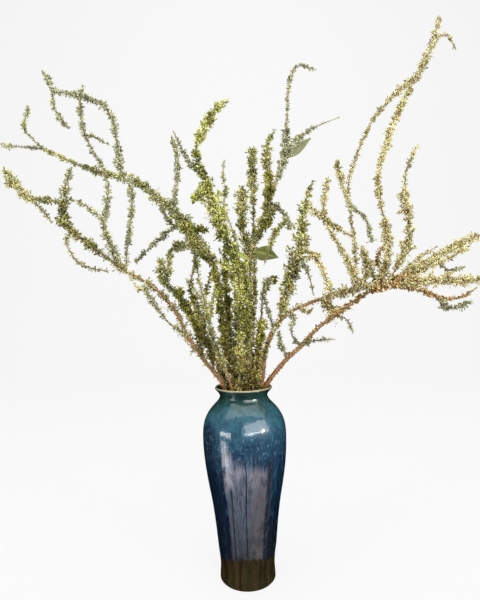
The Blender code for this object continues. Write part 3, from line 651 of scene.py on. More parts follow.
# %% Routes of the middle branches
BRANCHES += [
    Branch("branch_arching", (-6, -33), (2.8, 1.1), (-36, -95), [
        Shoot([(239, 386), (240, 360), (240, 320), (239, 280), (232, 252), (224, 235), (218, 218),
               (211, 198), (204, 178), (197, 160), (197, 144), (205, 127), (214, 111), (227, 101)],
              None, 0.0, "lime", [8, 8, 8, 8, 10, 12, 12, 14, 19, 21, 21, 10, 8, 11, 9, 6]),
        Shoot([(202, 174), (193, 167), (183, 151), (173, 131)], -65, 0.0, "grey", [13, 6, 4, 2]),
        Shoot([(209, 193), (202, 193), (194, 200)], -85, 0.0, "lime", [16, 9]),
        Shoot([(239, 280), (229, 270), (219, 262)], -70, 0.0, "lime", [2, 7]),
    ]),
    Branch("branch_thin", (-12, 2), (2.0, 0.8), (2, 45), [
        Shoot([(236, 386), (236, 340), (237, 290), (235, 240), (224, 208), (226, 190), (223, 178),
               (224, 160)], None, 0.0, "moss", [8, 8, 8, 9, 10, 10, 9, 6, 3, 5, 5, 2]),
        Shoot([(237, 290), (227, 265), (219, 248)], 20, 0.0, "green", [8, 5, 3]),
    ]),
    Branch("branch_dense", (-2, 18), (2.4, 1.0), (18, 75), [
        Shoot([(240, 386), (242, 340), (243, 290), (247, 252), (242, 222), (243, 188)],
              None, 0.0, "olive", [8, 8, 8, 9, 10, 10, 10, 13, 15, 18, 15]),
        Shoot([(243, 290), (234, 268), (232, 250)], 30, 0.0, "green", [2, 3, 6]),
    ]),
    Branch("branch_upright", (10, 32), (2.2, 0.9), (32, 130), [
        Shoot([(249, 386), (252, 340), (254, 290), (254, 240), (253, 194), (252, 151)], None, 0.0, "olive",
              [8, 8, 8, 8, 8, 8, 6, 10, 4, 6, 13, 13, 15]),
    ]),
    Branch("branch_tall", (12, 8), (2.8, 1.0), (8, 75), [
        Shoot([(248, 386), (249, 340), (250, 290), (251, 256), (260, 231), (268, 200), (267, 168),
               (267, 144), (275, 130)], None, 0.0, "olive",
              [9, 8, 8, 8, 8, 8, 5, 8, 13, 14, 13, 14, 10, 3]),
        Shoot([(268, 200), (280, 172), (285, 150), (287, 119), (290, 78), (300, 65), (314, 70)],
              220, 0.0, "grey", [9, 8, 14, 13, 4, 5, 6, 4, 5]),
        Shoot([(284, 158), (296, 141), (313, 128), (340, 117)], 60, 0.0, "grey", [12, 14, 6, 2, 2]),
        Shoot([(268, 200), (282, 212), (291, 227)], 20, 0.0, "grey", [8, 10, 9]),
        Shoot([(287, 219), (274, 235), (264, 265)], -30, 0.0, "moss", [5, 8, 7, 3, 2]),
        Shoot([(261, 231), (268, 222), (273, 210)], 20, 0.0, "green", [8, 9, 6]),
        Shoot([(268, 200), (271, 186), (270, 172)], 18, 0.0, "green", [8, 10, 6]),
    ]),
]
print(len(BRANCHES), "branches so far")

# %% [markdown]
# ## Routes on the right
# A green branch stands before two long ones, whose lower stems are bare and red-brown and whose
# many shoots carry small pale leaves.

# %% Routes of the right branches
BRANCHES += [
    Branch("branch_right_green", (24, -20), (2.6, 1.1), (-26, -85), [
        Shoot([(255, 386), (263, 358), (274, 332), (282, 311), (290, 279), (301, 245), (302, 226),
               (306, 200), (313, 181)], None, 0.0, "olive", [14, 13, 7, 3, 5, 14, 21, 20, 21, 12, 7, 5]),
        Shoot([(301, 248), (314, 256), (323, 270), (329, 290)], -105, 0.0, "gold", [9, 8, 8, 9]),
        Shoot([(296, 260), (307, 270), (314, 296)], -55, 0.0, "grey", [10, 4, 2]),
        Shoot([(274, 332), (269, 312), (263, 295), (268, 279)], -20, 0.0, "grey", [4, 4, 6, 10]),
    ]),
    Branch("branch_upper_right", (32, 12), (5.0, 1.4), (10, 85), [
        Shoot([(262, 383), (266, 348), (274, 329), (289, 313), (307, 304), (330, 296), (355, 290),
               (378, 285), (405, 274), (436, 256), (459, 245), (479, 235)], None, 0.42, "gold",
              [6, 6, 6, 8, 12, 14, 14, 14, 8, 6, 15, 10, 12, 17, 8]),
        Shoot([(355, 290), (355, 252), (351, 215), (349, 181), (361, 144), (375, 117), (395, 94),
               (415, 78), (431, 48), (439, 18)], 190, 0.0, "cream",
              [8, 10, 7, 6, 6, 5, 6, 5, 8, 8, 12, 13, 13, 14, 9, 9]),
        Shoot([(433, 43), (446, 34), (456, 49)], 200, 0.0, "cream", [4, 5, 3]),
        Shoot([(350, 205), (343, 187), (337, 162)], 90, 0.0, "gold", [6, 11, 7]),
        Shoot([(354, 236), (335, 227), (317, 215), (309, 205)], 30, 0.0, "gold", [4, 8, 8, 12]),
        Shoot([(324, 219), (324, 198), (328, 178)], 60, 0.0, "gold", [12, 10, 7]),
        Shoot([(354, 284), (343, 253), (334, 238), (327, 226)], 5, 0.0, "gold", [6, 6, 10, 4]),
        Shoot([(352, 206), (366, 220), (371, 240)], 110, 0.0, "grey", [8, 5, 10]),
        Shoot([(378, 285), (369, 268), (362, 248)], 60, 0.0, "gold", [3, 20, 8]),
        Shoot([(405, 274), (418, 259), (438, 246)], 95, 0.0, "cream", [13, 6, 2]),
        Shoot([(436, 256), (447, 270), (463, 268)], 60, 0.0, "grey", [5, 5, 7]),
        Shoot([(418, 267), (441, 262), (467, 248)], 30, 0.0, "gold", [12, 7, 9, 11]),
        Shoot([(288, 314), (295, 318), (291, 326)], -5, 0.0, "grey", [6, 5]),
        Shoot([(320, 299), (328, 305), (334, 312)], 8, 0.0, "gold", [11, 24]),
        Shoot([(362, 288), (366, 276), (372, 262)], 5, 0.0, "gold", [10, 9, 6]),
        Shoot([(382, 284), (381, 270), (377, 258), (384, 246)], 12, 0.0, "russet", [8, 7, 6, 5]),
        Shoot([(300, 308), (306, 312), (312, 309)], 0, 0.0, "gold", [7, 6, 4]),
        Shoot([(405, 274), (420, 272), (430, 264), (440, 258)], 12, 0.0, "gold", [9, 9, 8, 6]),
    ]),
    Branch("branch_lower_right", (35, -9), (5.2, 1.3), (-14, -120), [
        Shoot([(268, 382), (284, 362), (302, 345), (318, 328), (345, 308), (372, 290), (394, 286),
               (423, 291), (443, 299), (463, 296), (476, 288)], None, 0.45, "russet",
              [6, 6, 7, 8, 8, 10, 7, 6, 11, 7, 6, 6, 2]),
        Shoot([(372, 290), (385, 268), (388, 240), (380, 200), (379, 170), (388, 139), (399, 110),
               (411, 88)], -20, 0.0, "gold", [6, 13, 12, 13, 7, 8, 7, 10, 11, 8, 10, 6]),
        Shoot([(385, 287), (401, 260), (409, 232), (405, 200), (406, 172), (417, 146)], -120, 0.0, "gold",
              [6, 8, 15, 11, 14, 7, 4, 5]),
        Shoot([(400, 287), (421, 280), (444, 280), (478, 280)], -75, 0.0, "gold", [13, 17, 18, 13, 12]),
        Shoot([(436, 297), (450, 308), (472, 302)], -130, 0.0, "grey", [8, 7, 6]),
        Shoot([(334, 316), (346, 319), (353, 332)], -90, 0.1, "grey", [2, 4]),
        Shoot([(302, 345), (313, 341), (333, 339)], -80, 0.1, "grey", [7, 3, 4]),
        Shoot([(372, 290), (360, 282), (352, 268), (347, 255)], -90, 0.0, "gold", [5, 10, 4]),
        Shoot([(289, 357), (281, 346), (279, 333)], -8, 0.0, "grey", [9, 5]),
        Shoot([(376, 290), (394, 280), (410, 279), (426, 283)], 0, 0.0, "russet", [10, 13, 12, 8]),
        Shoot([(300, 347), (293, 337), (291, 328)], -8, 0.0, "grey", [4, 5, 4]),
    ]),
]
print(len(BRANCHES), "branches so far")

# %% [markdown]
# ## Routes in the mouth
# Six short leafy stems fill the vase's mouth between the long ones.

# %% Routes of the stems in the mouth
BRANCHES += [
    Branch("branch_mouth_left", (-38, 3), (2.2, 1.0), (3, 30), [
        Shoot([(226, 385), (214, 354), (203, 332), (196, 306), (191, 284), (195, 264)],
              None, 0.0, "green", [9, 8, 10, 6, 10, 7, 3]),
        Shoot([(203, 332), (205, 303), (208, 284), (216, 269)], 20, 0.0, "green", [5, 7, 6, 4]),
    ]),
    Branch("branch_mouth_front_left", (-20, -12), (2.2, 1.0), (-14, -30), [
        Shoot([(234, 386), (226, 350), (221, 318), (218, 290), (213, 268)], None, 0.0, "green",
              [8, 8, 13, 13, 8, 10, 6]),
    ]),
    Branch("branch_mouth_front", (7, -24), (2.2, 1.0), (-28, -50), [
        Shoot([(246, 386), (247, 350), (247, 318), (246, 290), (243, 262)], None, 0.0, "lime",
              [8, 8, 8, 8, 8, 8, 7]),
    ]),
    Branch("branch_mouth_back", (-4, 36), (2.2, 1.0), (38, 110), [
        Shoot([(238, 386), (231, 345), (227, 305), (225, 270), (227, 245)], None, 0.0, "green",
              [8, 8, 9, 11, 14, 15, 9, 10]),
    ]),
    Branch("branch_mouth_right", (24, 26), (2.2, 1.0), (28, 70), [
        Shoot([(254, 386), (257, 350), (261, 318), (264, 292), (275, 277)], None, 0.0, "green",
              [13, 10, 6, 5, 4, 6, 12]),
    ]),
    Branch("branch_mouth_low", (20, -34), (2.0, 0.9), (-38, -60), [
        Shoot([(253, 388), (256, 368), (260, 345), (262, 322)], None, 0.0, "green", [15, 8, 8, 16]),
    ]),
]
print(len(BRANCHES), "branches with", sum(len(branch.shoots) for branch in BRANCHES), "shoots")

# %% [markdown]
# ## From routes to smooth stems
# A growing shoot has no corners, so each route becomes a smooth curve through its places, with a point
# every few millimetres. A stem starts on the vase's floor, leans on the neck and then follows its route.

# %% Smooth paths
NECK_LEVEL = 0.374
STEM_FOOT_SHRINK = 0.92
STEM_FOOT = floor_level + 0.0003
PATH_STEP = 0.0045


def lengths_along(path):
    return np.concatenate(([0.0], np.cumsum(np.linalg.norm(np.diff(path, axis=0), axis=1))))


def route_points(pixels, start_depth, end_depth):
    """Picture places with a depth that changes evenly along the route."""
    steps = lengths_along(np.array(pixels, float))
    depths = start_depth + (end_depth - start_depth) * steps / steps[-1]
    return [place(pixel, depth) for pixel, depth in zip(pixels, depths)]


def stem_path(branch):
    neck = np.array((branch.neck[0], branch.neck[1], 0)) * MM
    foot = neck * STEM_FOOT_SHRINK + (0, 0, STEM_FOOT)
    neck = neck + (0, 0, NECK_LEVEL)
    above = route_points(branch.shoots[0].route, branch.depths[0] * MM, branch.depths[1] * MM)
    return np.vstack((foot, smooth_through([neck, *above], PATH_STEP)))


print("stems pass the neck at", NECK_LEVEL, "m")

# %% [markdown]
# ## Side shoots
# A side shoot starts inside its parent, at the point whose picture place is nearest the start of its
# route, and is no thicker than it. Like the stems it tapers to its tip.

# %% Stems and side shoots
TWIG_MM = 1.3


def nearest_on(drawn, pixel):
    """The point of the drawn shoots whose picture place is nearest a pixel, and its radius."""
    best = (math.inf, None, None)
    for path, radii in drawn:
        for point, radius in zip(path[1:], radii[1:]):
            gap = float(np.linalg.norm(place(pixel, point[1]) - point))
            if gap < best[0]:
                best = (gap, point, radius)
    return best[1], best[2]


def shoot_paths(branch):
    """Each shoot's path and radii."""
    stem = stem_path(branch)
    lengths = lengths_along(stem)
    base, tip = (value * MM for value in branch.stem_mm)
    share = np.clip((lengths - lengths[1]) / (lengths[-1] - lengths[1]), 0, 1)
    drawn = [(stem, base + (tip - base) * share ** 0.8)]
    for shoot in branch.shoots[1:]:
        root, thick = nearest_on(drawn, shoot.route[0])
        points = route_points(shoot.route, root[1], shoot.depth * MM)
        path = smooth_through([root, *points[1:]], PATH_STEP)
        lengths = lengths_along(path)
        start = min(TWIG_MM * MM, thick * 0.85)
        end = min(tip, start * 0.8)
        drawn.append((path, start + (end - start) * lengths / lengths[-1]))
    return drawn


paths = {branch.name: shoot_paths(branch) for branch in BRANCHES}
total = sum(lengths_along(path)[-1] for drawn in paths.values() for path, radii in drawn)
print("shoots in all", round(total, 1), "m long")

# %% [markdown]
# ## One leaf
# A spiraea leaf is a small narrow blade, folded a little along its midrib and bent back at the tip. It
# is modelled once: a coarse ball of three sides, drawn out along its length, flattened, and shaped ring
# by ring. With only twelve triangles it can be repeated tens of thousands of times.

# %% Model the leaf
LEAF_RINGS = [
    # share of the length, share of the width
    (0.30, 0.88), (0.72, 0.90),
]
LEAF_KEEL = 0.06
LEAF_BEND = 0.16
ALONG_X = (0, math.radians(90), 0)


def select_between(mesh, axis, low, high):
    """Select the points of a mesh whose place on an axis lies between two values."""
    for vertex in mesh.vertices:
        vertex.select = low < vertex.co[axis] < high


def in_edit_mode(shape, operator, **settings):
    """Run an edit-mode operator on the points of a shape that are selected."""
    bpy.context.view_layer.objects.active = shape
    bpy.ops.object.mode_set(mode="EDIT")
    operator(**settings)
    bpy.ops.object.mode_set(mode="OBJECT")


def take_shape(shape):
    """The finished shape as arrays of points and triangles, with its object removed."""
    deselect()
    shape.select_set(True)
    in_edit_mode(shape, bpy.ops.mesh.select_all, action="SELECT")
    in_edit_mode(shape, bpy.ops.mesh.normals_make_consistent, inside=False)
    in_edit_mode(shape, bpy.ops.mesh.quads_convert_to_tris)
    points = np.array([vertex.co[:] for vertex in shape.data.vertices])
    corners = np.array([face.vertices[:] for face in shape.data.polygons])
    bpy.data.objects.remove(shape, do_unlink=True)
    return points, corners


deselect()
bpy.ops.mesh.primitive_uv_sphere_add(segments=3, ring_count=3, radius=0.5, location=(0, 0, 0),
                                     rotation=ALONG_X)
leaf = bpy.context.object
bpy.ops.object.transform_apply(location=False, rotation=True, scale=False)
bpy.context.tool_settings.mesh_select_mode = (True, False, False)
rings = sorted({round(vertex.co.x, 3) for vertex in leaf.data.vertices})[1:-1]
for ring, (along_share, width) in zip(rings, LEAF_RINGS):
    in_edit_mode(leaf, bpy.ops.mesh.select_all, action="DESELECT")
    select_between(leaf.data, 0, ring - 0.01, ring + 0.01)
    radius = math.sqrt(0.25 - ring * ring)
    side = radius * math.cos(math.radians(30))
    in_edit_mode(leaf, bpy.ops.transform.resize, center_override=(0, 0, 0),
                 value=(1, width / 2 / side, LEAF_KEEL / radius))
    in_edit_mode(leaf, bpy.ops.transform.translate, value=(along_share - 0.5 - ring, 0, 0))
for vertex in leaf.data.vertices:
    vertex.co.x += 0.5
    vertex.co.z -= LEAF_BEND * vertex.co.x ** 2
leaf_points, leaf_faces = take_shape(leaf)
midrib = (np.abs(leaf_points[:, 1]) < 0.01).astype(np.float32)
print("leaf of", len(leaf_faces), "triangles")

# %% [markdown]
# ## One bud, one side twig
# A bud is a small egg on its base, and a side twig is a thin cone. Both lie along the x axis, as the
# leaf does, so that the same rows can place them.

# %% Model the bud and the side twig
deselect()
bpy.ops.mesh.primitive_uv_sphere_add(segments=4, ring_count=3, radius=0.5, location=(0.4, 0, 0),
                                     rotation=ALONG_X)
bpy.ops.object.transform_apply(location=True, rotation=True, scale=False)
bud_points, bud_faces = take_shape(bpy.context.object)
bpy.ops.mesh.primitive_cone_add(vertices=5, radius1=1.0, radius2=0.0, depth=1.0, location=(0.5, 0, 0),
                                rotation=ALONG_X)
bpy.ops.object.transform_apply(location=True, rotation=True, scale=False)
twig_points, twig_faces = take_shape(bpy.context.object)
print("bud of", len(bud_faces), "triangles, side twig of", len(twig_faces))

# %% [markdown]
# ## Leaves on a shoot
# Leaves leave a shoot in a spiral, each a golden angle on from the last, and lean towards its tip. No
# two are alike: length, lean and twist come from a seeded draw. A tone says how the leaves of a shoot
# look at the middle. Each leaf carries how young it is and how warm its colour, for its finish to read;
# low in the bush near the vase's rim both carry painted shade, darker and browner.

# %% Tones and rows of leaves
GOLDEN_ANGLE = math.radians(137.508)
FULL_TURN = 6.28
TURN_SPREAD = 0.35
LEAF_LEAN = math.radians(50)
LEAN_SHARES = (0.2, 1.8)
LEAF_RISE = 0.10
AIM_SPREAD = 0.36
TWIST_SPREAD = 0.6
LENGTH_SHARES = (0.65, 1.3)
WIDTH_SHARES = (0.8, 1.25)
AGE_SPREAD = 0.27
WARMTH_SPREAD = 0.2
SILVER_SPREAD = 0.25
# Painted shade near the vase's rim: how fast it fades with height, and how much darker and browner it
# makes the leaves.
RIM_SHADE_FADE = 0.10
RIM_SHADE_DARKER = 0.18
RIM_SHADE_BROWNER = 0.42
# A shoot's leaves: age, warmth and silver at the middle, buds per leaf, length in mm, width per length
# and leaves per cm for each mm of reach; and the age of its side twigs' wood.
Tone = namedtuple("Tone", "age warmth silver buds leaf_mm slender fullness wood")
TONES = {
    "green": Tone(0.41, 0.08, 0.02, 0.0, 9.0, 0.42, 5.3, 0.80),
    "moss": Tone(0.59, 0.12, 0.47, 0.0, 8.0, 0.46, 5.6, 0.85),
    "olive": Tone(0.56, 0.26, 0.36, 0.0, 8.0, 0.46, 5.6, 0.80),
    "lime": Tone(0.62, 0.04, 0.16, 0.0, 9.0, 0.42, 5.0, 0.90),
    "grey": Tone(0.64, 0.22, 0.92, 0.0, 6.6, 0.56, 6.0, 0.85),
    "gold": Tone(0.76, 0.55, 0.43, 0.12, 6.8, 0.54, 5.6, 0.30),
    "cream": Tone(0.70, 0.54, 0.64, 0.22, 6.2, 0.58, 5.8, 0.40),
    "russet": Tone(0.52, 0.92, 0.08, 0.14, 6.4, 0.56, 5.8, 0.05),
}


def unit(rows):
    return rows / np.maximum(np.linalg.norm(rows, axis=1), 1e-9)[:, None]


def frames_along(path):
    """The direction at each point of a path, and a side vector turned as little as possible."""
    along = np.gradient(path, axis=0)
    along /= np.linalg.norm(along, axis=1)[:, None]
    side = np.cross(along[0], (0.0, 1.0, 0.3))
    sides = []
    for direction in along:
        side = side - direction * side.dot(direction)
        side /= np.linalg.norm(side)
        sides.append(side)
    return along, np.array(sides)


def sample(path, lengths, places):
    """Points, directions and sides at the given lengths along a path."""
    along, side = frames_along(path)
    columns = [np.interp(places, lengths, column) for column in (*path.T, *along.T, *side.T)]
    points, along, side = (np.array(columns[i:i + 3]).T for i in (0, 3, 6))
    return points, unit(along), unit(side)


def around(along, side, turn):
    """Directions that point away from a stem at the given turns about it."""
    return side * np.cos(turn)[:, None] + np.cross(along, side) * np.sin(turn)[:, None]


def leaf_rows(points, along, side, radius, length, tone, draw, lift=0.0):
    """Rows for leaves at the points, leaning away from the directions along which their wood runs."""
    count = len(points)
    turn = np.arange(count) * GOLDEN_ANGLE + draw.uniform(-TURN_SPREAD, TURN_SPREAD, count)
    turn = turn + draw.uniform(0, FULL_TURN)
    outward = around(along, side, turn)
    lean = LEAF_LEAN * draw.uniform(*LEAN_SHARES, count)
    aim = along * np.cos(lean)[:, None] + outward * np.sin(lean)[:, None] + (0, 0, LEAF_RISE)
    aim = unit(aim + draw.normal(0, AIM_SPREAD, (count, 3)))
    twist = draw.normal(0, TWIST_SPREAD, count)[:, None]
    across = unit(np.cross(aim, along - outward * 0.4) + 1e-6)
    upper = np.cross(across, aim)
    across, upper = (across * np.cos(twist) + upper * np.sin(twist),
                     upper * np.cos(twist) - across * np.sin(twist))
    x, y, z = points.T
    patches = 0.14 * np.sin(70 * x + 45 * y + 60 * z) + 0.12 * np.sin(31 * x - 37 * z)
    # Painted shade: leaves low in the bush, near the vase's rim, are made darker and browner.
    deep = np.exp(-np.maximum(z - VASE_HEIGHT, 0) / RIM_SHADE_FADE)
    length = length * draw.uniform(*LENGTH_SHARES, count)
    width = length * tone.slender * draw.uniform(*WIDTH_SHARES, count)
    young = tone.age + patches + draw.normal(0, AGE_SPREAD, count) + lift - RIM_SHADE_DARKER * deep
    warmth = tone.warmth + RIM_SHADE_BROWNER * deep + draw.normal(0, WARMTH_SPREAD, count) + patches * 0.5
    silver = tone.silver + draw.normal(0, SILVER_SPREAD, count)
    return dict(root=points + outward * (radius * 0.7)[:, None], aim=aim, across=across, upper=upper,
                length=length, width=width, young=np.clip(young, 0, 1), warmth=np.clip(warmth, 0, 1),
                silver=np.clip(silver, 0, 1), bud=draw.uniform(0, 1, count) < tone.buds)


print(len(TONES), "tones of leaf")

# %% [markdown]
# ## Tufts along a shoot
# Where a shoot is bushy its leaves sit on short side twigs, five to a twig, so the tufts swell and thin
# out as the reach of the shoot says. Where it is nearly bare they are fewer and smaller, and the stem
# shows between them. Leaves are lighter towards the outer end of a twig and darker on the stem, partly
# as younger growth and partly as painted light outside the tuft and painted shade inside it.

# %% Dress a shoot
ON_STEM = 9.0
TWIG_SHARES = (0.30, 0.50, 0.70, 0.88, 1.0)
BARE_FULLNESS = 0.45
BARE_LEAF = 0.75
STEM_SHOWS = 1.5
TUFT_MM = 34
TUFT_SWELL = (0.28, 0.14)
SHORTEST_LEAF_MM = 2.2
TWIG_RADIUS = 0.55 * MM
SHORTEST_TWIG = 1.5 * MM
# Leaves lighter towards the outer end of a twig and darker on the stem: partly younger growth, partly
# painted light outside and painted shade inside the tuft.
TIP_YOUNGER_AND_LIT = 0.16
INNER_OLDER_AND_SHADED = 0.06


def scattered(start, stop, most, density, draw):
    """Places between two lengths, as many on each centimetre as the density says, most at the most."""
    count = int(round((stop - start) * 100 * most))
    places = start + (stop - start) * (np.arange(count) + draw.uniform(0, 1, count)) / max(count, 1)
    return places[draw.uniform(0, most, count) < density(places)]


def dress(shoot, path, radii, start, draw):
    """The leaves of one shoot and its side twigs, both as rows."""
    lengths = lengths_along(path)
    end = lengths[-1]
    stations = np.linspace(start, end, len(shoot.reach))
    bare_to = start + (end - start) * shoot.bare
    phase = draw.uniform(0, FULL_TURN, 2)
    tone = TONES[shoot.tone]

    def reach(places):
        turns = places / (TUFT_MM * MM) * 2 * math.pi
        beads = (1 + TUFT_SWELL[0] * np.sin(turns + phase[0])
                 + TUFT_SWELL[1] * np.sin(turns * 0.37 + phase[1]))
        return np.interp(places, stations, shoot.reach) * beads

    def fullness(places):
        bushy = np.maximum(reach(places) - STEM_SHOWS, 0.3)
        return tone.fullness * bushy * np.where(places < bare_to, BARE_FULLNESS, 1.0)

    def size(places):
        largest = tone.leaf_mm * np.where(places < bare_to, BARE_LEAF, 1.0)
        return np.minimum(largest, SHORTEST_LEAF_MM + reach(places)) * MM

    most = tone.fullness * max(shoot.reach) * (1 + sum(TUFT_SWELL))
    places = scattered(start, end, ON_STEM, lambda at: np.minimum(fullness(at), ON_STEM), draw)
    points, along, side = sample(path, lengths, places)
    batches = [leaf_rows(points, along, side, np.interp(places, lengths, radii), size(places), tone,
                         draw, -INNER_OLDER_AND_SHADED)]
    twig_leaves = len(TWIG_SHARES)
    places = scattered(start, end, most / twig_leaves,
                       lambda at: np.maximum(fullness(at) - ON_STEM, 0) / twig_leaves, draw)
    points, along, side = sample(path, lengths, places)
    count = len(places)
    outward = around(along, side, draw.uniform(0, FULL_TURN, count))
    aim = unit(along * 0.55 + outward * 0.85 + draw.normal(0, 0.1, (count, 3)))
    tip_at = reach(places) * MM - size(places) * 0.45
    twig_length = np.maximum(tip_at * draw.uniform(0.35, 1.08, count) / 0.85, SHORTEST_TWIG)
    across = unit(np.cross(aim, along) + 1e-6)
    twigs = dict(root=points, aim=aim, across=across, upper=np.cross(across, aim), length=twig_length,
                 age=np.full(count, tone.wood))
    for share in TWIG_SHARES:
        batches.append(leaf_rows(points + aim * (twig_length * share)[:, None], aim, across,
                                 np.full(count, TWIG_RADIUS), size(places), tone, draw,
                                 TIP_YOUNGER_AND_LIT * share - INNER_OLDER_AND_SHADED))
    return batches, twigs


print("leaves sit straight on a stem up to", ON_STEM, "to the centimetre")

# %% [markdown]
# ## Bark
# The lower stems have thin smooth bark, red-brown where it is older, and the young shoots above are
# olive. Fine streaks along the stem and small pale pores keep it from looking like painted wire. The
# age of the wood comes from each point's place along its shoot.

# %% Bark finish
STREAK_MM = 3.85
PORE_MM = 1.61
bark_finish, shader = new_material("thin_shrub_bark", Roughness=0.55, IOR=1.45)
tree = bark_finish.node_tree
youth = add(tree, "Attribute", output="Fac", attribute_name="youth")
where = add(tree, "TexCoord", output="Object")
streak = add(tree, "TexNoise", {"Vector": where, "Scale": 1 / (STREAK_MM * MM), "Detail": 3.0,
                                "Roughness": 0.6}, "Fac")
pores = add(tree, "TexNoise", {"Vector": where, "Scale": 1 / (PORE_MM * MM), "Detail": 1.0}, "Fac")
age_colour = add(tree, "ValToRGB", [youth], "Color", [
    (0.0, "703b24"), (0.12, "8a4c2d"), (0.30, "a5683d"), (0.55, "967043"), (0.80, "7c7442"),
    (1.0, "8b8c52")])
bark_colour = coats(tree, age_colour, [
    (add(tree, "MapRange", [streak, 0.36, 0.58, 0.85, 0.0]), "3a2116"),
    (add(tree, "MapRange", [pores, 0.54, 0.66, 0.0, 0.75]), "d0a478")])
ridges = add(tree, "Bump", {"Strength": 0.5, "Distance": 0.3 * MM, "Height": streak})
wire(shader, Base_Color=bark_colour, Normal=ridges)
print("bark finish made")

# %% [markdown]
# ## Leaf finish
# Young spiraea leaves are thin, soft and only slightly shiny. The youngest are yellow-green, older and
# shaded ones dark olive, and on the branches that are about to flower many are cream. Their undersides
# have a grey-green bloom, so some of the small ones look silvery. The midrib is a shade lighter.

# %% Leaf finish
leaf_finish, shader = new_material("fresh_spiraea_leaf", Roughness=0.65, IOR=1.40,
                                   Specular_IOR_Level=0.15)
tree = leaf_finish.node_tree
young, warmth, silver, rib = (add(tree, "Attribute", output="Fac", attribute_name=name)
                              for name in ("young", "warmth", "silver", "midrib"))
green_range, warm_range, silver_range = (add(tree, "ValToRGB", [young], "Color", stops) for stops in (
    [(0.0, "30340f"), (0.3, "5c6316"), (0.6, "959e24"), (0.85, "bfc540"), (1.0, "e2e286")],
    [(0.0, "54300f"), (0.35, "9c662c"), (0.7, "d6ae69"), (1.0, "fbedbe")],
    [(0.0, "5f6150"), (0.5, "9fa189"), (1.0, "d6d7c2")]))
blade_colour = coats(tree, green_range, [
    (warmth, warm_range),
    (add(tree, "Math", [silver, 0.85], operation="MULTIPLY"), silver_range),
    (add(tree, "Math", [rib, 0.2], operation="MULTIPLY"), "d9dc9a")])
wire(shader, Base_Color=blade_colour)
print("leaf finish made")

# %% [markdown]
# ## Copies of a shape
# A row says where a copy starts, which ways it points and how large it is. Thousands of copies at once
# become one mesh, with values on its points, such as how young a leaf is, that its finish reads.

# %% Copies as one mesh
def repeat(points, corners, rows, size):
    """Copies of a shape laid along the rows: their points and triangles."""
    length, width, depth = size
    placed = (rows["root"][:, None] + rows["aim"][:, None] * (length[:, None] * points[:, 0])[..., None]
              + rows["across"][:, None] * (width[:, None] * points[:, 1])[..., None]
              + rows["upper"][:, None] * (depth[:, None] * points[:, 2])[..., None])
    shift = np.arange(len(length))[:, None, None] * len(points)
    return placed.reshape(-1, 3), (corners + shift).reshape(-1, 3)


def mesh_object(name, points, corners, values, material):
    """A smooth object of triangles with a value of each name at every point."""
    mesh = bpy.data.meshes.new(name)
    mesh.vertices.add(len(points))
    mesh.vertices.foreach_set("co", points.astype(np.float32).ravel())
    mesh.loops.add(corners.size)
    mesh.loops.foreach_set("vertex_index", corners.astype(np.int32).ravel())
    mesh.polygons.add(len(corners))
    mesh.polygons.foreach_set("loop_start", np.arange(0, corners.size, 3, dtype=np.int32))
    mesh.update(calc_edges=True)
    for key, numbers in values.items():
        mesh.attributes.new(key, "FLOAT", "POINT").data.foreach_set("value", numbers.astype(np.float32))
    mesh.shade_smooth()
    mesh.materials.append(material)
    made = bpy.data.objects.new(name, mesh)
    bpy.context.scene.collection.objects.link(made)
    return made


print("a leaf has", len(leaf_points), "points, a bud", len(bud_points))

# %% [markdown]
# ## Wood
# The stems of a branch are drawn as curves with a round bevel, thick at the foot and thin at the tip,
# and turned into one mesh. The small side twigs are copies of the one twig, and join it.

# %% Wood of a branch
STEM_SIDES = 8


def stem_tubes(name, tubes):
    """Round tapering tubes along the paths, as one mesh with how young its wood is."""
    deselect()
    bpy.ops.curve.primitive_nurbs_path_add(location=(0, 0, 0))
    wood = bpy.context.object
    wood.name = name
    wood.data.splines.clear()
    tree = KDTree(sum(len(path) for path, radii, ages in tubes))
    ages_of = []
    for path, radii, ages in tubes:
        spline = wood.data.splines.new("POLY")
        spline.points.add(len(path) - 1)
        spline.points.foreach_set("co", np.column_stack((path, np.ones(len(path)))).ravel())
        spline.points.foreach_set("radius", np.asarray(radii))
        for point, age in zip(path, ages):
            tree.insert(point, len(ages_of))
            ages_of.append(age)
    tree.balance()
    wood.data.bevel_depth = 1.0
    wood.data.bevel_resolution = STEM_SIDES // 2 - 2
    wood.data.use_fill_caps = True
    bpy.ops.object.convert(target="MESH")
    wood = bpy.context.object
    wood.data.name = name
    youth = [ages_of[tree.find(vertex.co)[1]] for vertex in wood.data.vertices]
    wood.data.attributes.new("youth", "FLOAT", "POINT").data.foreach_set("value", youth)
    wood.data.shade_smooth()
    wood.data.materials.clear()
    wood.data.materials.append(bark_finish)
    return wood


def add_twigs(wood, twigs):
    """Join the side twigs to the wood of their branch."""
    thin = np.full(len(twigs["age"]), TWIG_RADIUS)
    points, corners = repeat(twig_points, twig_faces, twigs, (twigs["length"], thin, thin))
    youth = {"youth": np.repeat(twigs["age"], len(twig_points))}
    extra = mesh_object(wood.name + "_twigs", points, corners, youth, bark_finish)
    deselect()
    extra.select_set(True)
    wood.select_set(True)
    bpy.context.view_layer.objects.active = wood
    bpy.ops.object.join()


print("stems have", STEM_SIDES, "sides")

# %% [markdown]
# ## Foliage
# The leaves of a branch are thousands of copies of the one blade and the one bud, laid by their rows.
# Those that would meet the vase's lip or hang far below it are left out.

# %% Foliage of a branch
BUD_MM = 3.0
BUD_STRETCH = 1.2
BUD_YOUNGER = 0.3
BUD_WARMTH = 0.9
LIP_CLEAR = 0.003
MOUTH_CLEAR_RADIUS = 0.047
MOUTH_CLEAR_LOW = 0.390


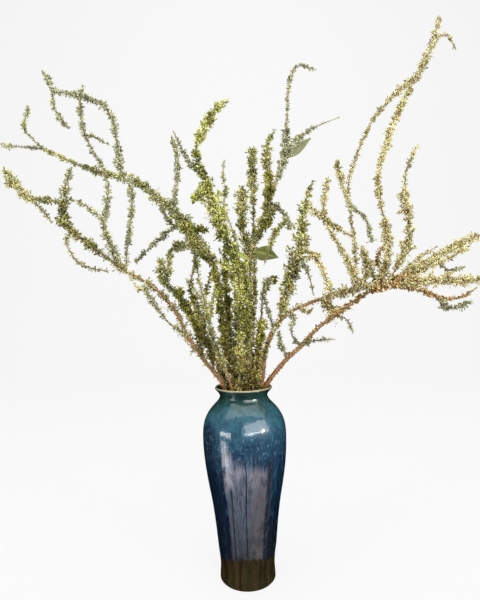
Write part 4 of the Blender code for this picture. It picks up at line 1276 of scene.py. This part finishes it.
def leaf_mesh(name, rows):
    """All the leaves and buds of one branch as one mesh."""
    buds = {key: values[rows["bud"]] for key, values in rows.items()}
    blades = {key: values[~rows["bud"]] for key, values in rows.items()}
    bud_size = np.full(len(buds["length"]), BUD_MM * MM)
    points, corners = repeat(leaf_points, leaf_faces, blades,
                             (blades["length"], blades["width"], blades["length"]))
    more, more_corners = repeat(bud_points, bud_faces, buds,
                                (bud_size * BUD_STRETCH, bud_size, bud_size))
    corners = np.vstack((corners, more_corners + len(points)))
    points = np.vstack((points, more))
    per_leaf, per_bud = len(leaf_points), len(bud_points)
    bud_young = np.clip(buds["young"] + BUD_YOUNGER, 0, 1)
    values = {
        "young": (np.repeat(blades["young"], per_leaf), np.repeat(bud_young, per_bud)),
        "warmth": (np.repeat(blades["warmth"], per_leaf), np.full(len(more), BUD_WARMTH)),
        "silver": (np.repeat(blades["silver"], per_leaf), np.zeros(len(more))),
        "midrib": (np.tile(midrib, len(blades["length"])), np.zeros(len(more))),
    }
    values = {key: np.concatenate(parts) for key, parts in values.items()}
    return mesh_object(name, points, corners, values, leaf_finish)


def clear_of_vase(rows):
    """Leave out the rows that would meet the vase's lip or reach far below it."""
    ends = (rows["root"], rows["root"] + rows["aim"] * rows["length"][:, None])
    lowest = np.minimum(ends[0][:, 2], ends[1][:, 2])
    widest = np.maximum(*(np.hypot(end[:, 0], end[:, 1]) for end in ends))
    in_mouth = (widest < MOUTH_CLEAR_RADIUS) & (lowest > MOUTH_CLEAR_LOW)
    kept = in_mouth | (lowest > VASE_HEIGHT + LIP_CLEAR)
    return {key: values[kept] for key, values in rows.items()}


print("buds are", BUD_MM, "mm across")

# %% [markdown]
# ## Grow the branches
# Each branch has its own seed. Older wood is at the foot of a stem, and a few knots swell it. The wood
# and the leaves stay two pieces, so that each can have its own finish, and together they take the place
# of the branch's solid.

# %% Grow every branch
KNOT_SHARE = 0.2
KNOT_SWELL = 0.28
leaf_count = 0


def joined(batches):
    """Batches of rows as one."""
    return {key: np.concatenate([batch[key] for batch in batches]) for key in batches[0]}


for number, branch in enumerate(BRANCHES):
    draw = np.random.default_rng(100 + number)
    tubes = []
    leaf_batches = []
    twig_batches = []
    for index, (shoot, (path, radii)) in enumerate(zip(branch.shoots, paths[branch.name])):
        lengths = lengths_along(path)
        share = lengths / lengths[-1]
        ages = share ** 1.3 if index == 0 else 0.45 + 0.55 * share
        if index or shoot.bare == 0:
            ages = np.maximum(ages, TONES[shoot.tone].wood - 0.1)
        knots = 1 + KNOT_SWELL * (draw.uniform(0, 1, len(radii)) < KNOT_SHARE)
        knots[[0, -1]] = 1
        tubes.append((path, radii * knots, ages))
        leaves, twigs = dress(shoot, path, radii, lengths[1] if index == 0 else 0.0, draw)
        leaf_batches += leaves
        twig_batches.append(twigs)
    rows = clear_of_vase(joined(leaf_batches))
    wood = stem_tubes(branch.name + "_wood", tubes)
    add_twigs(wood, clear_of_vase(joined(twig_batches)))
    foliage = leaf_mesh(branch.name + "_leaves", rows)
    for piece, slot in ((wood, "bark"), (foliage, "leaf")):
        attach(piece, "root")
        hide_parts(branch.name)
    leaf_count += len(rows["length"])
    print(branch.name, len(rows["length"]), "leaves,", len(foliage.data.polygons), "faces; wood",
          len(wood.data.polygons))
print("leaves in all", leaf_count)

# %% [markdown]
# ## Three broad leaves
# Three leaves on the tall branch are much broader than the others. Each starts as a flat grid, is
# narrowed to a point at both ends, folded along its midrib and bent, then thickened and smoothed.

# %% The broad leaves
BROAD_OUTLINE = [0.07, 0.16, 0.40, 0.62, 0.80, 0.93, 1.0, 0.97, 0.90, 0.79, 0.66, 0.51, 0.36, 0.20, 0.05]
BROAD_FOLD = 0.05
BROAD_BEND = 0.10
BROAD_LEAVES = [
    # name, places of its root and its tip in the picture, depth of its tip and half width in mm, facing,
    # age and silver
    ("broad_leaf", (251, 249), (277, 256), 8, 19.0, (0.10, -1.0, 0.20), 0.24, 0.20),
    ("broad_leaf_pale", (252, 259), (236, 251), -12, 8.0, (-0.20, -1.0, 0.30), 0.72, 0.30),
    ("broad_leaf_high", (287, 160), (314, 137), 130, 12.5, (0.30, -1.0, -0.35), 0.42, 0.75),
]


for name, root_pixel, tip_pixel, tip_depth, half_width, facing, age, bloom in BROAD_LEAVES:
    deselect()
    bpy.ops.mesh.primitive_grid_add(x_subdivisions=len(BROAD_OUTLINE) - 1, y_subdivisions=4, size=1,
                                    location=(0.5, 0, 0))
    blade = bpy.context.object
    blade.name = name
    bpy.ops.object.transform_apply(location=True, rotation=False, scale=False)
    bpy.context.tool_settings.mesh_select_mode = (True, False, False)
    for step, share in enumerate(BROAD_OUTLINE):
        x = step / (len(BROAD_OUTLINE) - 1)
        in_edit_mode(blade, bpy.ops.mesh.select_all, action="DESELECT")
        select_between(blade.data, 0, x - 0.01, x + 0.01)
        in_edit_mode(blade, bpy.ops.transform.resize, value=(1, share, 1), center_override=(x, 0, 0))
        in_edit_mode(blade, bpy.ops.transform.translate, value=(0, 0, -BROAD_BEND * x * x))
    in_edit_mode(blade, bpy.ops.mesh.select_all, action="DESELECT")
    select_between(blade.data, 1, -0.01, 0.01)
    in_edit_mode(blade, bpy.ops.transform.translate, value=(0, 0, -BROAD_FOLD))
    for kind, name_of, setting, value in (("SOLIDIFY", "thickness", "thickness", 0.02),
                                          ("SUBSURF", "smoothing", "levels", 1)):
        setattr(blade.modifiers.new(name_of, kind), setting, value)
        bpy.ops.object.modifier_apply(modifier=name_of)
    midline = [math.exp(-(vertex.co.y / 0.03) ** 2) for vertex in blade.data.vertices]
    root, radius = nearest_on(paths["branch_tall"], root_pixel)
    reach_to = place(tip_pixel, tip_depth * MM) - root
    long = float(np.linalg.norm(reach_to))
    forward = Vector(reach_to / long)
    across = Vector(facing).cross(forward).normalized()
    upper = forward.cross(across)
    axes = Matrix((forward * long, across * 2 * half_width * MM, upper * long)).transposed().to_4x4()
    blade.data.transform(Matrix.Translation(Vector(root)) @ axes)
    blade.data.update()
    for key, values in (("young", [age] * len(midline)), ("warmth", [0.0] * len(midline)),
                        ("silver", [bloom] * len(midline)), ("midrib", midline)):
        blade.data.attributes.new(key, "FLOAT", "POINT").data.foreach_set("value", values)
    blade.data.shade_smooth()
    blade.data.materials.append(leaf_finish)
    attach(blade, "root")
    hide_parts("branch_tall")
    print(name, round(long * 1000), "mm long,", len(blade.data.polygons), "faces")
